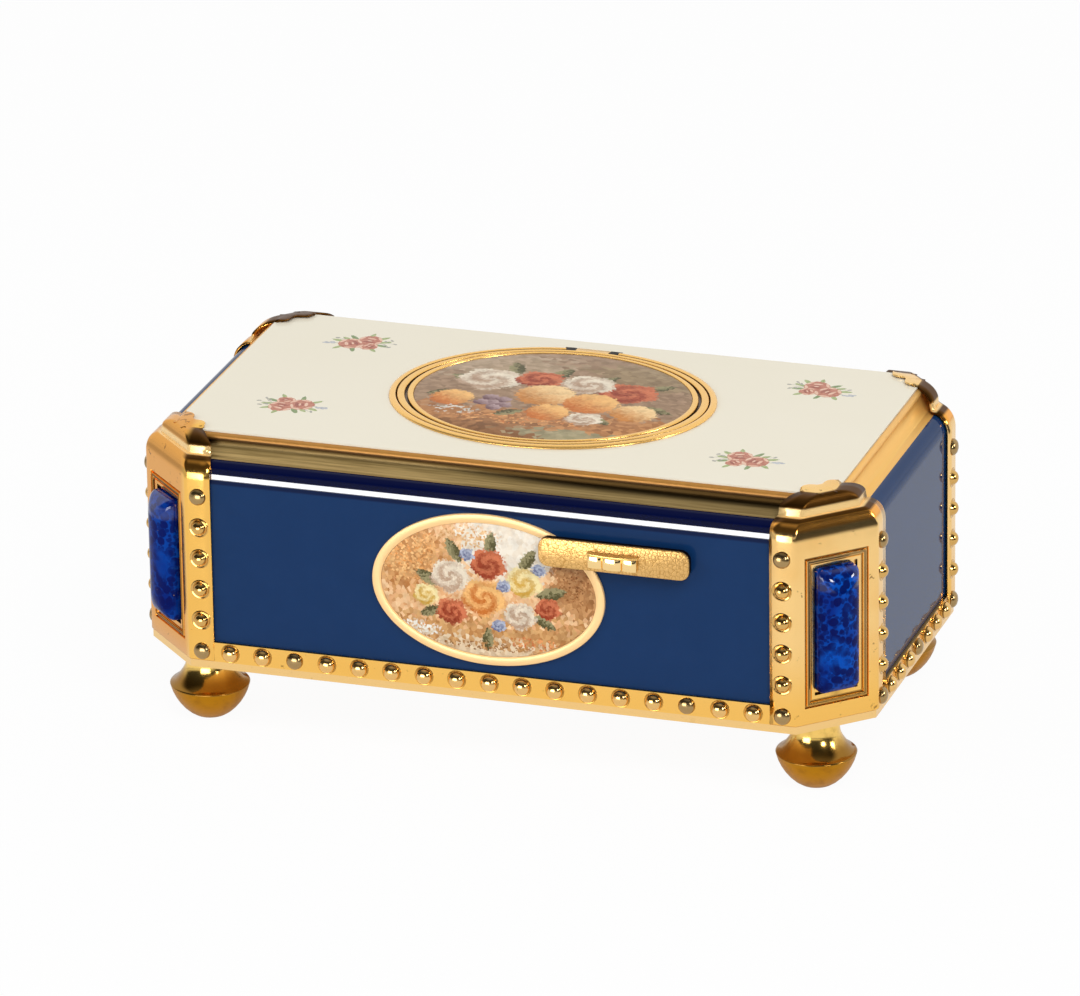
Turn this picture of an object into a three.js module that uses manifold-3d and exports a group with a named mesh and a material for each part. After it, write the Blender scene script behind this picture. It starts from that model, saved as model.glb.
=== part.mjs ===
// Singing bird box: an enamelled case with gilt corner mounts on four turned feet, an oval hinged lid,
// a bird that rises from a well under the lid, and the clockwork, bellows and whistle that drive it.
// Millimetres, +Z up, +X to the right along the front wall, the front faces -Y.

import * as THREE from 'three';
import { mergeVertices } from 'three/addons/utils/BufferGeometryUtils.js';
import Module from 'manifold-3d';

const wasm = await Module();
wasm.setup();

// Case
const CASE_WIDTH = 110;
const CASE_DEPTH = 60;
const WALL_HEIGHT = 27.9;
const CORNER_CUT = 9.5;
const PANEL_THICKNESS = 1.1;
const PANEL_END_GAP = 0.8;
const BASE_THICKNESS = 1.2;
const BASE_INSET = 0.3;
const TOP_THICKNESS = 0.9;
const SHEET = 0.5;
const SEAT = 0.05;
const SHAFT_PLAY = 0.2;

// Mouldings between the walls and the top plate
const LOWER_LOBE_RUN = 2.5;
const LOWER_LOBE_RISE = 3.1;
const LOBE_STEP = 0.1;
const UPPER_LOBE_RUN = 3.0;
const UPPER_LOBE_RISE = 2.6;
const BEAD_WIDTH = 0.75;
const BEAD_HEIGHT = 0.85;
const BEAD_DROP = 0.35;
const FRAME_LEDGE = 2;

// Corner mounts, their studs and stones
const FLANGE_WIDTH = 3.7;
// Over the lower lobe, and over the upper one
const FLANGE_TAPER = [0.4, 2.4];
const RIDGE_SHIFT = [0.3, 1.7];
const LIP_END = 0.7;
const LIP_LOBE = 2;
const LIP_LOBE_SIDEWAYS = 2.3;
const LIP_NOTCH = 1.5;
const STUD_RADIUS = 1.05;
const STUD_HEIGHT = 0.8;
const NAIL_RADIUS = 1.2;
const NAIL_HEIGHT = 0.7;
const FLANGE_STUDS = 6;
const FLANGE_STUD_MARGIN = 1.5;
const FLANGE_STUD_OFFSET = 1.9;
const FRAME_MARGIN = 2.5;
const FRAME_WIDTH = 10.3;
const FRAME_STEP = 0.7;
const FRAME_STEP_DEPTH = 0.35;
const MOUNT_BACKING = 2.6;
const STONE_WIDTH = 6.7;
const STONE_MARGIN = 1.9;
const STONE_CORNER = 0.9;
const STONE_SIDE = 2.2;
const STONE_DOME = 1.0;

// Studded strips along the foot of the walls
const STRIP_HEIGHT = 3;
const LONG_STRIP_STUDS = 17;
const LONG_STRIP_NAIL = 2;
const SHORT_STRIP_STUDS = 7;
const SHORT_STRIP_NAIL = 3;

// Feet
const FOOT_HEIGHT = 10.8;
const FOOT_RADIUS = 5.85;
const FOOT_NECK = 3.35;
const FOOT_TIP = 2.2;
const FOOT_BOWL = 4.85;
const FOOT_FLARE = 3.3;
const FLARE_CURVE = 1.6;
const FLARE_STEPS = 7;
const FOOT_INSET = 9.05;

// Front plaque and slide
const PLAQUE_HALF_WIDTH = 17.4;
const PLAQUE_HALF_HEIGHT = 11.5;
const PLAQUE_RISE = 15.8;
const PLAQUE_RIM = 1.3;
const PLAQUE_RIM_HEIGHT = 0.42;
const PLAQUE_THICKNESS = 0.3;
const SLIDE_LENGTH = 22.4;
const SLIDE_HEIGHT = 4.4;
const SLIDE_THICKNESS = 1.1;
const SLIDE_CORNER = 1.5;
const SLIDE_X = 19.2;
const SLIDE_RISE = 23.2;
const SLIDE_TRAVEL = 8;
const SLIDE_GAP = 0.25;
const SLIDE_STEM = 3;
const SLIDE_STEM_HEIGHT = 1.6;
const GRIP_LENGTH = 7.7;
const GRIP_REACH = 1.1;
const GRIP_SHARE = 0.8;
const SLIDE_BAR = 1;

// Lid, bezel and well
const LID_CENTRE_Y = 0.9;
const PICTURE_HALF_WIDTH = 20.45;
const PICTURE_HALF_DEPTH = 17.2;
const PICTURE_THICKNESS = 0.5;
const PICTURE_DOME = 0.45;
const INNER_RIM = 0.55;
const RIM_GROOVE = 0.3;
const RIM_GROOVE_DEPTH = 0.4;
const OUTER_RIM = 0.7;
const RIM_SWELL = 0.6;
const LID_GAP = 0.22;
const LID_THICKNESS = 2.2;
const BEZEL_WIDTH = 0.95;
const BEZEL_HEIGHT = 0.45;
const WELL_WALL = 0.6;
const WELL_DEPTH = 12.5;
const WELL_LEDGE = 1.1;
const GRILLE_THICKNESS = 0.6;
const GRILLE_RINGS = [
  { count: 15, offset: -4.4, length: 5.2, width: 2.9 },
  { count: 9, offset: -10.6, length: 4.8, width: 3 },
];
const KNUCKLE_LENGTH = 5;
const KNUCKLE_RADIUS = 0.8;
const KNUCKLE_NOTCH = 1.75;
const HINGE_LUG = 1.8;
const HINGE_PIN_RADIUS = 0.38;
const HINGE_RISE = 0.12;

// Bird, lying in the well with its beak to the front
const BIRD_PIVOT_Y = 9.5;
const BIRD_PIVOT_RISE = 1.8;
const BIRD_LIFT = 3.2;
const TURNTABLE_RADIUS = 3.4;
const TURNTABLE_THICKNESS = 0.7;
const TURNTABLE_POST = 1.2;
const TURNTABLE_STEM = 2;
const EAR_THICKNESS = 0.7;
const EAR_REACH = 0.9;
const ARM_WIDTH = 1.6;
const ARM_HEIGHT = 1;
const ARM_LENGTH = 10;
const BIRD_PIN = 0.4;
const WING_LENGTH = 11.5;
const WING_DEPTH = 4.4;
const WING_THICKNESS = 0.5;
const WING_OFFSET = 3.65;
const WING_AHEAD = 16;
const TAIL_LENGTH = 7;
const TAIL_THICKNESS = 0.5;
const TAIL_ROOT_HALF = 0.9;
const TAIL_END_HALF = 2;
const TAIL_AHEAD = 4.3;
const TAIL_RISE = 0.4;
const BIRD_SIDES = 12;

// Stations from rump to beak: distance ahead of the pivot, height over the line, half width, half height
const BIRD_STATIONS = [
  [4.6, 0.2, 0.7, 0.7],
  [6.2, 0.1, 2.0, 2.1],
  [9, 0, 3.0, 2.9],
  [12, 0, 3.2, 3.1],
  [15, 0.5, 2.7, 2.8],
  [16.8, 1.1, 2.0, 2.2],
  [18.6, 1.4, 2.35, 2.3],
  [20.2, 1.3, 1.8, 1.7],
  [21, 1.25, 0.8, 0.6],
  [23.2, 1.2, 0.15, 0.15],
];

// Root and tip of the lower beak: distance ahead of the pivot, half width, top and bottom over the line
const LOWER_BEAK_STATIONS = [
  [21.1, 0.75, 0.45, -0.3],
  [23.1, 0.2, 0.85, 0.6],
];

// Movement
const PLATE_THICKNESS = 1.2;
const PLATE_STANDOFF = 2;
const PLATE_SPACE = 12.8;
const PLATE_LEFT = -47;
const PLATE_RIGHT = 13.5;
const PLATE_HALF_DEPTH = 21.5;
const PILLAR_RADIUS = 1.7;
const PILLAR_INSET = 2;
const ARBOR_RADIUS = 0.8;
const PIVOT_RADIUS = 0.5;
const WHEEL_THICKNESS = 1;
const PINION_LENGTH = 1.8;
const BARREL_X = -29;
const GREAT_WHEEL = { teeth: 30, module: 0.96 };
const CAM_PINION = { teeth: 10, module: 0.96 };
const CAM_WHEEL = { teeth: 27, module: 0.78 };
const THIRD_PINION = { teeth: 9, module: 0.78 };
const THIRD_WHEEL = { teeth: 24, module: 0.62 };
const FLY_PINION = { teeth: 8, module: 0.62 };
const ADDENDUM = 0.85;
const DEDENDUM = 1.15;
const CAM_DIRECTION = 25;
const THIRD_DIRECTION = -55;
const FLY_DIRECTION = 5;
const CAM_RADIUS = 5.4;
const CAM_LIFT = 0.8;
const CAM_THICKNESS = 1.1;
const CAM_GAP = 0.5;
const CAM_COUNT = 3;
const DRUM_GAP = 0.6;
const DRUM_WALL = 0.8;
const DRUM_HEIGHT = 8;
const SPRING_TURNS = 4;
const SPRING_STRIP = 0.4;
const FLY_RADIUS = 5.2;
const FLY_VANE = 0.6;
const RATCHET_RADIUS = 5;
const RATCHET_TEETH = 14;
const RATCHET_TOOTH = 0.9;
const KEY_SQUARE = 2.4;
const KEYHOLE_RADIUS = 3.2;
const CLICK_LENGTH = 6;
const CLICK_GAP = 0.4;

// Bellows, whistle and levers
const BELLOWS_LEFT = 25;
const BELLOWS_LENGTH = 23;
const BELLOWS_FRONT = -3;
const BELLOWS_DEPTH = 24;
const BELLOWS_BOARD = 1.5;
const BELLOWS_FOLD = 3.8;
const WHISTLE_X = 19;
const WHISTLE_FRONT = -6;
const WHISTLE_LENGTH = 24;
const WHISTLE_RADIUS = 2.6;
const WHISTLE_BORE = 2;
const PISTON_LENGTH = 3;
const PISTON_ROD = 0.5;
const LEVER_THICKNESS = 1;
const LEVER_WIDTH = 1.6;
const LEVER_EYE = 1.8;
const LEVER_POST = 1;
const LEVER_GAP = 0.45;
const PISTON_LEVER_X = -12;
const PISTON_LEVER_Y = -15;
const STOP_LEVER_Y = -9;
const STOP_LEVER_FORK = 1.3;

// Facets
const OVAL_SIDES = 36;
const ROUND_SIDES = 16;
const SMALL_SIDES = 8;
const STUD_SIDES = 6;
const DRUM_SIDES = 24;
const CAM_SIDES = 28;
const SPRING_STEPS = 12;
const CURVE_STEPS = 4;

// Levels
const Z_CASE = FOOT_HEIGHT + BASE_THICKNESS;
const Z_SPRING = Z_CASE + WALL_HEIGHT;
const Z_NOTCH = Z_SPRING + LOWER_LOBE_RISE;
const Z_TOP = Z_NOTCH + UPPER_LOBE_RISE;
const Z_LID = Z_TOP + BEZEL_HEIGHT;
const Z_GRILLE = Z_TOP - WELL_DEPTH;
const TOP_INSET = LOWER_LOBE_RUN + LOBE_STEP + UPPER_LOBE_RUN;
const PANEL_INSET = SHEET + SEAT;
const INNER_INSET = PANEL_INSET + PANEL_THICKNESS;
const MITRE = Math.tan(Math.PI / 8);
const DEGREES = Math.PI / 180;

// Materials
function finish(color, roughness, metalness) {
  return new THREE.MeshStandardMaterial({ color, roughness, metalness });
}
const gilt = finish(0xe0a850, 0.22, 1);
const brushedBrass = finish(0xb89a58, 0.4, 1);
const blueEnamel = finish(0x1e3764, 0.12, 0);
const creamEnamel = finish(0xefe9d6, 0.25, 0);
const lapis = finish(0x12409a, 0.12, 0);
const pictureEnamel = finish(0xb98a5c, 0.18, 0);
const brass = finish(0xc9a24e, 0.3, 1);
const steel = finish(0x9a9da2, 0.3, 1);
const leather = finish(0xe6dccb, 0.7, 0);
const boxwood = finish(0xb98b56, 0.55, 0);
const plumage = finish(0x2f7fae, 0.75, 0);
const breast = finish(0xc2542c, 0.75, 0);

// Geometry helpers

// Merge shared corners, drop empty triangles and turn the faces outward.
function weld(geometry) {
  const bare = geometry.clone();
  for (const name of Object.keys(bare.attributes)) {
    if (name !== 'position') bare.deleteAttribute(name);
  }
  const merged = mergeVertices(bare, 1e-4);
  const old = merged.index.array;
  const faces = [];
  for (let i = 0; i < old.length; i += 3) {
    const [a, b, c] = [old[i], old[i + 1], old[i + 2]];
    if (a !== b && b !== c && c !== a) faces.push(a, b, c);
  }
  const place = merged.attributes.position;
  const [p, q, r] = [new THREE.Vector3(), new THREE.Vector3(), new THREE.Vector3()];
  let volume = 0;
  for (let i = 0; i < faces.length; i += 3) {
    p.fromBufferAttribute(place, faces[i]);
    q.fromBufferAttribute(place, faces[i + 1]);
    r.fromBufferAttribute(place, faces[i + 2]);
    volume += p.dot(q.cross(r));
  }
  merged.setIndex(volume < 0 ? faces.reverse() : faces);
  return merged;
}

function solid(geometry) {
  const welded = weld(geometry);
  return new wasm.Manifold(new wasm.Mesh({
    numProp: 3,
    vertProperties: Float32Array.from(welded.attributes.position.array),
    triVerts: Uint32Array.from(welded.index.array),
  }));
}

function geometryOf(shape) {
  const data = shape.getMesh();
  const geometry = new THREE.BufferGeometry();
  geometry.setAttribute('position', new THREE.BufferAttribute(Float32Array.from(data.vertProperties), 3));
  geometry.setIndex(new THREE.BufferAttribute(Uint32Array.from(data.triVerts), 1));
  return geometry;
}

function join(...geometries) {
  return geometryOf(geometries.map(solid).reduce((all, next) => all.add(next)));
}

function cut(geometry, ...tools) {
  return geometryOf(tools.map(solid).reduce((left, tool) => left.subtract(tool), solid(geometry)));
}

function box(x0, x1, y0, y1, z0, z1) {
  const geometry = new THREE.BoxGeometry(x1 - x0, y1 - y0, z1 - z0);
  return geometry.translate((x0 + x1) / 2, (y0 + y1) / 2, (z0 + z1) / 2);
}

function prism(shape, z0, z1, curveSegments = CURVE_STEPS) {
  const depth = z1 - z0;
  return new THREE.ExtrudeGeometry(shape, { depth, bevelEnabled: false, curveSegments }).translate(0, 0, z0);
}

// Upright rod on (x, y)
function rod(radius, x, y, z0, z1, sides = SMALL_SIDES) {
  const geometry = new THREE.CylinderGeometry(radius, radius, z1 - z0, sides);
  return geometry.rotateX(Math.PI / 2).translate(x, y, (z0 + z1) / 2);
}

// Rod along X through (y, z)
function crossRod(radius, x0, x1, y, z, sides = SMALL_SIDES) {
  const geometry = new THREE.CylinderGeometry(radius, radius, x1 - x0, sides);
  return geometry.rotateZ(Math.PI / 2).translate((x0 + x1) / 2, y, z);
}

// Rod along Y through (x, z)
function longRod(radius, y0, y1, x, z, sides = SMALL_SIDES) {
  return new THREE.CylinderGeometry(radius, radius, y1 - y0, sides).translate(x, (y0 + y1) / 2, z);
}

// Turned piece: [radius, height] pairs, starting and ending on the axis, about +Z
function turned(profile, sides = ROUND_SIDES) {
  const points = profile.map(([radius, height]) => new THREE.Vector2(radius, height));
  return new THREE.LatheGeometry(points, sides).rotateX(Math.PI / 2);
}

// Skin over a row of closed outlines with equal counts of points; the row closes on itself or is capped.
function loft(sections, closed = false) {
  const count = sections[0].length;
  const positions = sections.flat().flatMap((point) => [point.x, point.y, point.z]);
  const faces = [];
  const spans = closed ? sections.length : sections.length - 1;
  for (let s = 0; s < spans; s++) {
    const near = s * count;
    const far = ((s + 1) % sections.length) * count;
    for (let i = 0; i < count; i++) {
      const next = (i + 1) % count;
      faces.push(near + i, near + next, far + next, near + i, far + next, far + i);
    }
  }
  if (!closed) {
    const last = (sections.length - 1) * count;
    for (const [a, b, c] of capFaces(sections[0])) faces.push(c, b, a);
    for (const [a, b, c] of capFaces(sections[sections.length - 1])) faces.push(last + a, last + b, last + c);
  }
  const geometry = new THREE.BufferGeometry();
  geometry.setAttribute('position', new THREE.Float32BufferAttribute(positions, 3));
  geometry.setIndex(faces);
  return geometry;
}

// Triangles across a flat outline, wound as the outline is
function capFaces(outline) {
  const normal = new THREE.Vector3();
  outline.forEach((point, i) => {
    const next = outline[(i + 1) % outline.length];
    normal.add(new THREE.Vector3().crossVectors(point, next));
  });
  const turn = new THREE.Quaternion().setFromUnitVectors(normal.normalize(), new THREE.Vector3(0, 0, 1));
  const flat = outline.map((point) => {
    const turnedPoint = point.clone().applyQuaternion(turn);
    return new THREE.Vector2(turnedPoint.x, turnedPoint.y);
  });
  return THREE.ShapeUtils.triangulateShape(flat, []);
}

function roundedRectangle(width, height, radius) {
  const [x, y] = [width / 2, height / 2];
  const shape = new THREE.Shape();
  shape.moveTo(-x + radius, -y);
  shape.lineTo(x - radius, -y).absarc(x - radius, -y + radius, radius, -Math.PI / 2, 0);
  shape.lineTo(x, y - radius).absarc(x - radius, y - radius, radius, 0, Math.PI / 2);
  shape.lineTo(-x + radius, y).absarc(-x + radius, y - radius, radius, Math.PI / 2, Math.PI);
  shape.lineTo(-x, -y + radius).absarc(-x + radius, -y + radius, radius, Math.PI, 1.5 * Math.PI);
  return shape;
}

function circle(radius, x = 0, y = 0) {
  return new THREE.Path().absarc(x, y, radius, 0, 2 * Math.PI);
}

// Quarter of an ellipse from (centreX - runX, centreZ) up to (centreX, centreZ + riseZ), convex outward
function lobe(centreX, centreZ, run, rise, steps = CURVE_STEPS) {
  return Array.from({ length: steps + 1 }, (_, i) => {
    const angle = (i / steps) * Math.PI / 2;
    return [centreX - run * Math.cos(angle), centreZ + rise * Math.sin(angle)];
  });
}

// Point on an oval, moved out along its normal by the offset
function ovalPoint(halfX, halfY, offset, angle, z) {
  const normal = new THREE.Vector2(Math.cos(angle) / halfX, Math.sin(angle) / halfY).normalize();
  const x = halfX * Math.cos(angle) + normal.x * offset;
  const y = halfY * Math.sin(angle) + normal.y * offset;
  return new THREE.Vector3(x, y, z);
}

function ovalAngles() {
  return Array.from({ length: OVAL_SIDES }, (_, i) => (i / OVAL_SIDES) * 2 * Math.PI);
}

// Oval disc: rows of [offset, height] from the bottom face's edge to the top face's edge
function ovalDisc(halfX, halfY, rows) {
  return loft(rows.map(([offset, z]) => ovalAngles().map((t) => ovalPoint(halfX, halfY, offset, t, z))));
}

// Oval ring: a closed [offset, height] profile carried round the oval
function ovalRing(halfX, halfY, profile) {
  const section = (t) => profile.map(([offset, z]) => ovalPoint(halfX, halfY, offset, t, z));
  return loft(ovalAngles().map(section), true);
}

function ovalPath(halfX, halfY, offset, y = 0) {
  const points = ovalAngles().map((t) => ovalPoint(halfX, halfY, offset, t, 0));
  return new THREE.Path(points.map((point) => new THREE.Vector2(point.x, point.y + y)));
}

// Mirror a front-right piece to another corner: side is 1 right or -1 left, end is 1 front or -1 rear.
function toCorner(geometry, side, end) {
  return weld(geometry.clone().scale(side, end, 1));
}

const part = new THREE.Group();
part.name = 'singing_bird_box';

function piece(name, geometry, material, group = part) {
  const mesh = new THREE.Mesh(weld(geometry).toNonIndexed(), material);
  mesh.geometry.computeVertexNormals();
  mesh.name = name;
  group.add(mesh);
}

// Case outline: an oblong with cut corners, moved in by the inset

// Sum of two steps, the first made over the lower lobe's run and the second over the upper one's
function overLobes(inset, [lower, upper]) {
  const low = Math.min(inset / LOWER_LOBE_RUN, 1);
  const high = Math.min(Math.max(inset - LOWER_LOBE_RUN, 0) / (TOP_INSET - LOWER_LOBE_RUN), 1);
  return lower * low + upper * high;
}

// Distance of a ridge from the next wall: the two ridges close in over the lobes and part again behind the crest.
function cornerRun(inset) {
  return CORNER_CUT - overLobes(inset, RIDGE_SHIFT) + Math.max(inset - TOP_INSET, 0) * MITRE;
}

// Ridges of the front right corner, where the front wall and the right wall meet the canted face
function frontRidge(inset) {
  return [CASE_WIDTH / 2 - cornerRun(inset), -CASE_DEPTH / 2 + inset];
}
function sideRidge(inset) {
  return [CASE_WIDTH / 2 - inset, -CASE_DEPTH / 2 + cornerRun(inset)];
}

function caseOutline(inset) {
  const [a, b] = [frontRidge(inset), sideRidge(inset)];
  const right = [a, b, [b[0], -b[1]], [a[0], -a[1]]];
  const left = right.map(([x, y]) => [-x, y]).reverse();
  return [...right, ...left].map(([x, y]) => new THREE.Vector2(x, y));
}

function addBase() {
  const outline = new THREE.Shape(caseOutline(BASE_INSET));
  outline.holes.push(circle(KEYHOLE_RADIUS, BARREL_X, 0));
  piece('base_plate', prism(outline, FOOT_HEIGHT, Z_CASE), gilt);
}

// Foot: a bowl under a sharp rim, then a trumpet-shaped flare up to a straight neck
function addFeet() {
  const top = FOOT_HEIGHT - SEAT;
  const bowl = lobe(0, 0, FOOT_RADIUS - FOOT_TIP, FOOT_BOWL).reverse();
  const flare = Array.from({ length: FLARE_STEPS }, (_, i) => {
    const share = (i + 1) / FLARE_STEPS;
    const width = (FOOT_RADIUS - FOOT_NECK) * (1 - share) ** FLARE_CURVE;
    return [FOOT_NECK + width, FOOT_BOWL + FOOT_FLARE * share];
  });
  const profile = [
    [0, 0],
    ...bowl.map(([x, z]) => [FOOT_TIP - x, FOOT_BOWL - z]),
    ...flare,
    [FOOT_NECK, top],
    [0, top],
  ];
  const foot = turned(profile).translate(CASE_WIDTH / 2 - FOOT_INSET, -CASE_DEPTH / 2 + FOOT_INSET, 0);
  for (const [name, side, end] of CORNERS) piece(`foot_${name}`, toCorner(foot, side, end), gilt);
}

const CORNERS = [
  ['front_right', 1, 1],
  ['front_left', -1, 1],
  ['rear_right', 1, -1],
  ['rear_left', -1, -1],
];

// Domed stud whose flat back sinks into the sheet that it stands on
function stud(radius, height, direction, x, y, z) {
  const back = -SHEET / 2;
  const profile = [[0, back], [radius, back], [radius, 0], [radius * 0.72, height * 0.7], [0, height]];
  const turn = new THREE.Quaternion().setFromUnitVectors(new THREE.Vector3(0, 0, 1), direction);
  return turned(profile, STUD_SIDES).applyQuaternion(turn).translate(x, y, z);
}

const FORWARD = new THREE.Vector3(0, -1, 0);
const RIGHTWARD = new THREE.Vector3(1, 0, 0);

// Section of the stamped mount at one station: two convex lobes over the flange, and a lip that laps the top
// plate, reaching away from the side wall and from the front wall
function mountSection(station, [lipSideways, lipBack]) {
  const upperRise = UPPER_LOBE_RISE + SEAT + SHEET;
  const outer = [
    [0, Z_CASE],
    ...lobe(LOWER_LOBE_RUN, Z_SPRING, LOWER_LOBE_RUN, LOWER_LOBE_RISE),
    ...lobe(TOP_INSET, Z_NOTCH, UPPER_LOBE_RUN, upperRise),
  ];
  const inner = [
    [SHEET, Z_CASE],
    ...lobe(LOWER_LOBE_RUN, Z_SPRING, LOWER_LOBE_RUN - SHEET, LOWER_LOBE_RISE - SHEET),
    [LOWER_LOBE_RUN + LOBE_STEP + SHEET, Z_NOTCH - SHEET],
    ...lobe(TOP_INSET, Z_NOTCH, UPPER_LOBE_RUN - SHEET, upperRise - SHEET),
  ];
  const crest = station(TOP_INSET);
  const edge = [Z_TOP + SEAT + SHEET, Z_TOP + SEAT].map((z) =>
    new THREE.Vector3(crest[0] - lipSideways, crest[1] + lipBack, z));
  const row = ([d, z]) => new THREE.Vector3(...station(d), z);
  return [...outer.map(row), ...edge, ...inner.reverse().map(row)];
}

// Stations along the front flange, the canted face and the side flange, each with the reach of its lip:
// round lobes at the ridges and a notch between them
function mountStations() {
  const reach = (d) => CORNER_CUT + FLANGE_WIDTH - overLobes(d, FLANGE_TAPER);
  const frontEdge = (d) => [CASE_WIDTH / 2 - reach(d), -CASE_DEPTH / 2 + d];
  const sideEdge = (d) => [CASE_WIDTH / 2 - d, -CASE_DEPTH / 2 + reach(d)];
  const across = (share) => (d) => {
    const [a, b] = [frontRidge(d), sideRidge(d)];
    return [a[0] + (b[0] - a[0]) * share, a[1] + (b[1] - a[1]) * share];
  };
  const halfway = [(LIP_LOBE_SIDEWAYS + LIP_NOTCH) / 2, (LIP_LOBE + LIP_NOTCH) / 2];
  return [
    [frontEdge, [0, LIP_END]],
    [frontRidge, [LIP_LOBE_SIDEWAYS, LIP_LOBE]],
    [across(0.25), halfway],
    [across(0.5), [LIP_NOTCH, LIP_NOTCH]],
    [across(0.75), [halfway[1], halfway[0]]],
    [sideRidge, [LIP_LOBE, LIP_LOBE_SIDEWAYS]],
    [sideEdge, [LIP_END, 0]],
  ];
}

// Put a piece drawn upright in XZ, facing -Y with its face at y = 0, on the front right canted face.
function ontoCant(geometry) {
  const [x, y] = [(CASE_WIDTH - CORNER_CUT) / 2, -(CASE_DEPTH - CORNER_CUT) / 2];
  return geometry.rotateZ(Math.PI / 4).translate(x, y, Z_CASE + WALL_HEIGHT / 2);
}

// Upright plate behind the face from depth y0 to depth y1
function uprightPlate(width, height, radius, y0, y1) {
  return prism(roundedRectangle(width, height, radius), -y1, -y0, 1).rotateX(Math.PI / 2);
}

const FRAME_HEIGHT = WALL_HEIGHT - 2 * FRAME_MARGIN;
const STONE_HEIGHT = FRAME_HEIGHT - 2 * STONE_MARGIN;

function cornerMount() {
  const sections = mountStations().map(([station, lip]) => mountSection(station, lip));
  const backing = uprightPlate(
    FRAME_WIDTH + FRAME_STEP,
    FRAME_HEIGHT + FRAME_STEP,
    FRAME_STEP,
    SHEET / 2,
    MOUNT_BACKING,
  );
  const studs = [];
  const span = WALL_HEIGHT - FLANGE_STUD_MARGIN - STUD_RADIUS - FLANGE_STUD_MARGIN;
  for (let i = 0; i < FLANGE_STUDS; i++) {
    const nail = i === 0 || i === FLANGE_STUDS - 1;
    const size = nail ? [NAIL_RADIUS, NAIL_HEIGHT] : [STUD_RADIUS, STUD_HEIGHT];
    const z = Z_CASE + FLANGE_STUD_MARGIN + (span * i) / (FLANGE_STUDS - 1);
    studs.push(stud(...size, FORWARD, frontRidge(0)[0] - FLANGE_STUD_OFFSET, -CASE_DEPTH / 2, z));
    studs.push(stud(...size, RIGHTWARD, CASE_WIDTH / 2, sideRidge(0)[1] + FLANGE_STUD_OFFSET, z));
  }
  const joined = join(loft(sections), ontoCant(backing), ...studs);
  const steps = [0, 1].map((i) => uprightPlate(
    FRAME_WIDTH - 2 * FRAME_STEP * i,
    FRAME_HEIGHT - 2 * FRAME_STEP * i,
    FRAME_STEP,
    -1,
    FRAME_STEP_DEPTH * (i + 1),
  ));
  return cut(joined, ...steps.map(ontoCant));
}

// Oblong cabochon: straight sides, then a dome over its width
function cornerStone() {
  const bed = 2 * FRAME_STEP_DEPTH - SEAT;
  const ring = (offset, y) => {
    const radius = Math.max(STONE_CORNER - offset, 0.1);
    const shape = roundedRectangle(STONE_WIDTH - 2 * offset, STONE_HEIGHT - 2 * offset, radius);
    return shape.getPoints(2).slice(0, -1).map((point) => new THREE.Vector3(point.x, y, point.y));
  };
  const rings = [ring(0, bed), ring(0, bed - STONE_SIDE)];
  for (const angle of [30, 55, 75]) {
    const offset = (STONE_WIDTH / 2) * (1 - Math.cos(angle * DEGREES));
    rings.push(ring(offset, bed - STONE_SIDE - STONE_DOME * Math.sin(angle * DEGREES)));
  }
  return ontoCant(loft(rings));
}

function addCorners() {
  const [mount, stone] = [cornerMount(), cornerStone()];
  for (const [name, side, end] of CORNERS) {
    piece(`corner_mount_${name}`, toCorner(mount, side, end), gilt);
    piece(`corner_stone_${name}`, toCorner(stone, side, end), lapis);
  }
}

// Wall panel with a rounded top edge, its face at the given reach from the centre, facing -Y
function wallPanel(halfLength, reach) {
  const bottom = Z_CASE + SEAT;
  const innerRun = LOWER_LOBE_RUN - INNER_INSET;
  const profile = [
    [PANEL_INSET, bottom],
    ...lobe(LOWER_LOBE_RUN, Z_SPRING, LOWER_LOBE_RUN - PANEL_INSET, LOWER_LOBE_RISE - PANEL_INSET),
    ...lobe(LOWER_LOBE_RUN, Z_SPRING, innerRun, LOWER_LOBE_RISE - INNER_INSET).reverse(),
    [INNER_INSET, bottom],
  ];
  const section = (x) => profile.map(([d, z]) => new THREE.Vector3(x, -reach + d, z));
  return loft([section(-halfLength), section(halfLength)]);
}

function addPanels() {
  const [longHalf, longReach] = [frontRidge(0)[0] - PANEL_END_GAP, CASE_DEPTH / 2];
  const [shortHalf, shortReach] = [-sideRidge(0)[1] - PANEL_END_GAP, CASE_WIDTH / 2];
  const z = Z_CASE + SLIDE_RISE;
  const slotHalf = SLIDE_STEM_HEIGHT / 2 + SHAFT_PLAY;
  const slotLeft = SLIDE_X - SLIDE_STEM / 2 - SHAFT_PLAY;
  const slotRight = SLIDE_X + SLIDE_TRAVEL + SLIDE_STEM / 2 + SHAFT_PLAY;
  const [slotFront, slotRear] = [-longReach - 1, -longReach + INNER_INSET + 1];
  const slot = box(slotLeft, slotRight, slotFront, slotRear, z - slotHalf, z + slotHalf);
  piece('front_panel', cut(wallPanel(longHalf, longReach), slot), blueEnamel);
  piece('rear_panel', wallPanel(longHalf, longReach).rotateZ(Math.PI), blueEnamel);
  piece('right_panel', wallPanel(shortHalf, shortReach).rotateZ(Math.PI / 2), blueEnamel);
  piece('left_panel', wallPanel(shortHalf, shortReach).rotateZ(-Math.PI / 2), blueEnamel);
}

// Strip of stamped studs, with real nails at the given place from each end
function studdedStrip(halfLength, reach, count, nailPlace) {
  const strip = box(-halfLength, halfLength, -reach, -reach + SHEET, Z_CASE + SEAT, Z_CASE + STRIP_HEIGHT);
  const pitch = (2 * halfLength) / count;
  const studs = Array.from({ length: count }, (_, i) => {
    const nail = i === nailPlace || i === count - 1 - nailPlace;
    const size = nail ? [NAIL_RADIUS, NAIL_HEIGHT] : [STUD_RADIUS, STUD_HEIGHT];
    return stud(...size, FORWARD, (i - (count - 1) / 2) * pitch, -reach, Z_CASE + STRIP_HEIGHT / 2);
  });
  return join(strip, ...studs);
}

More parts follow.
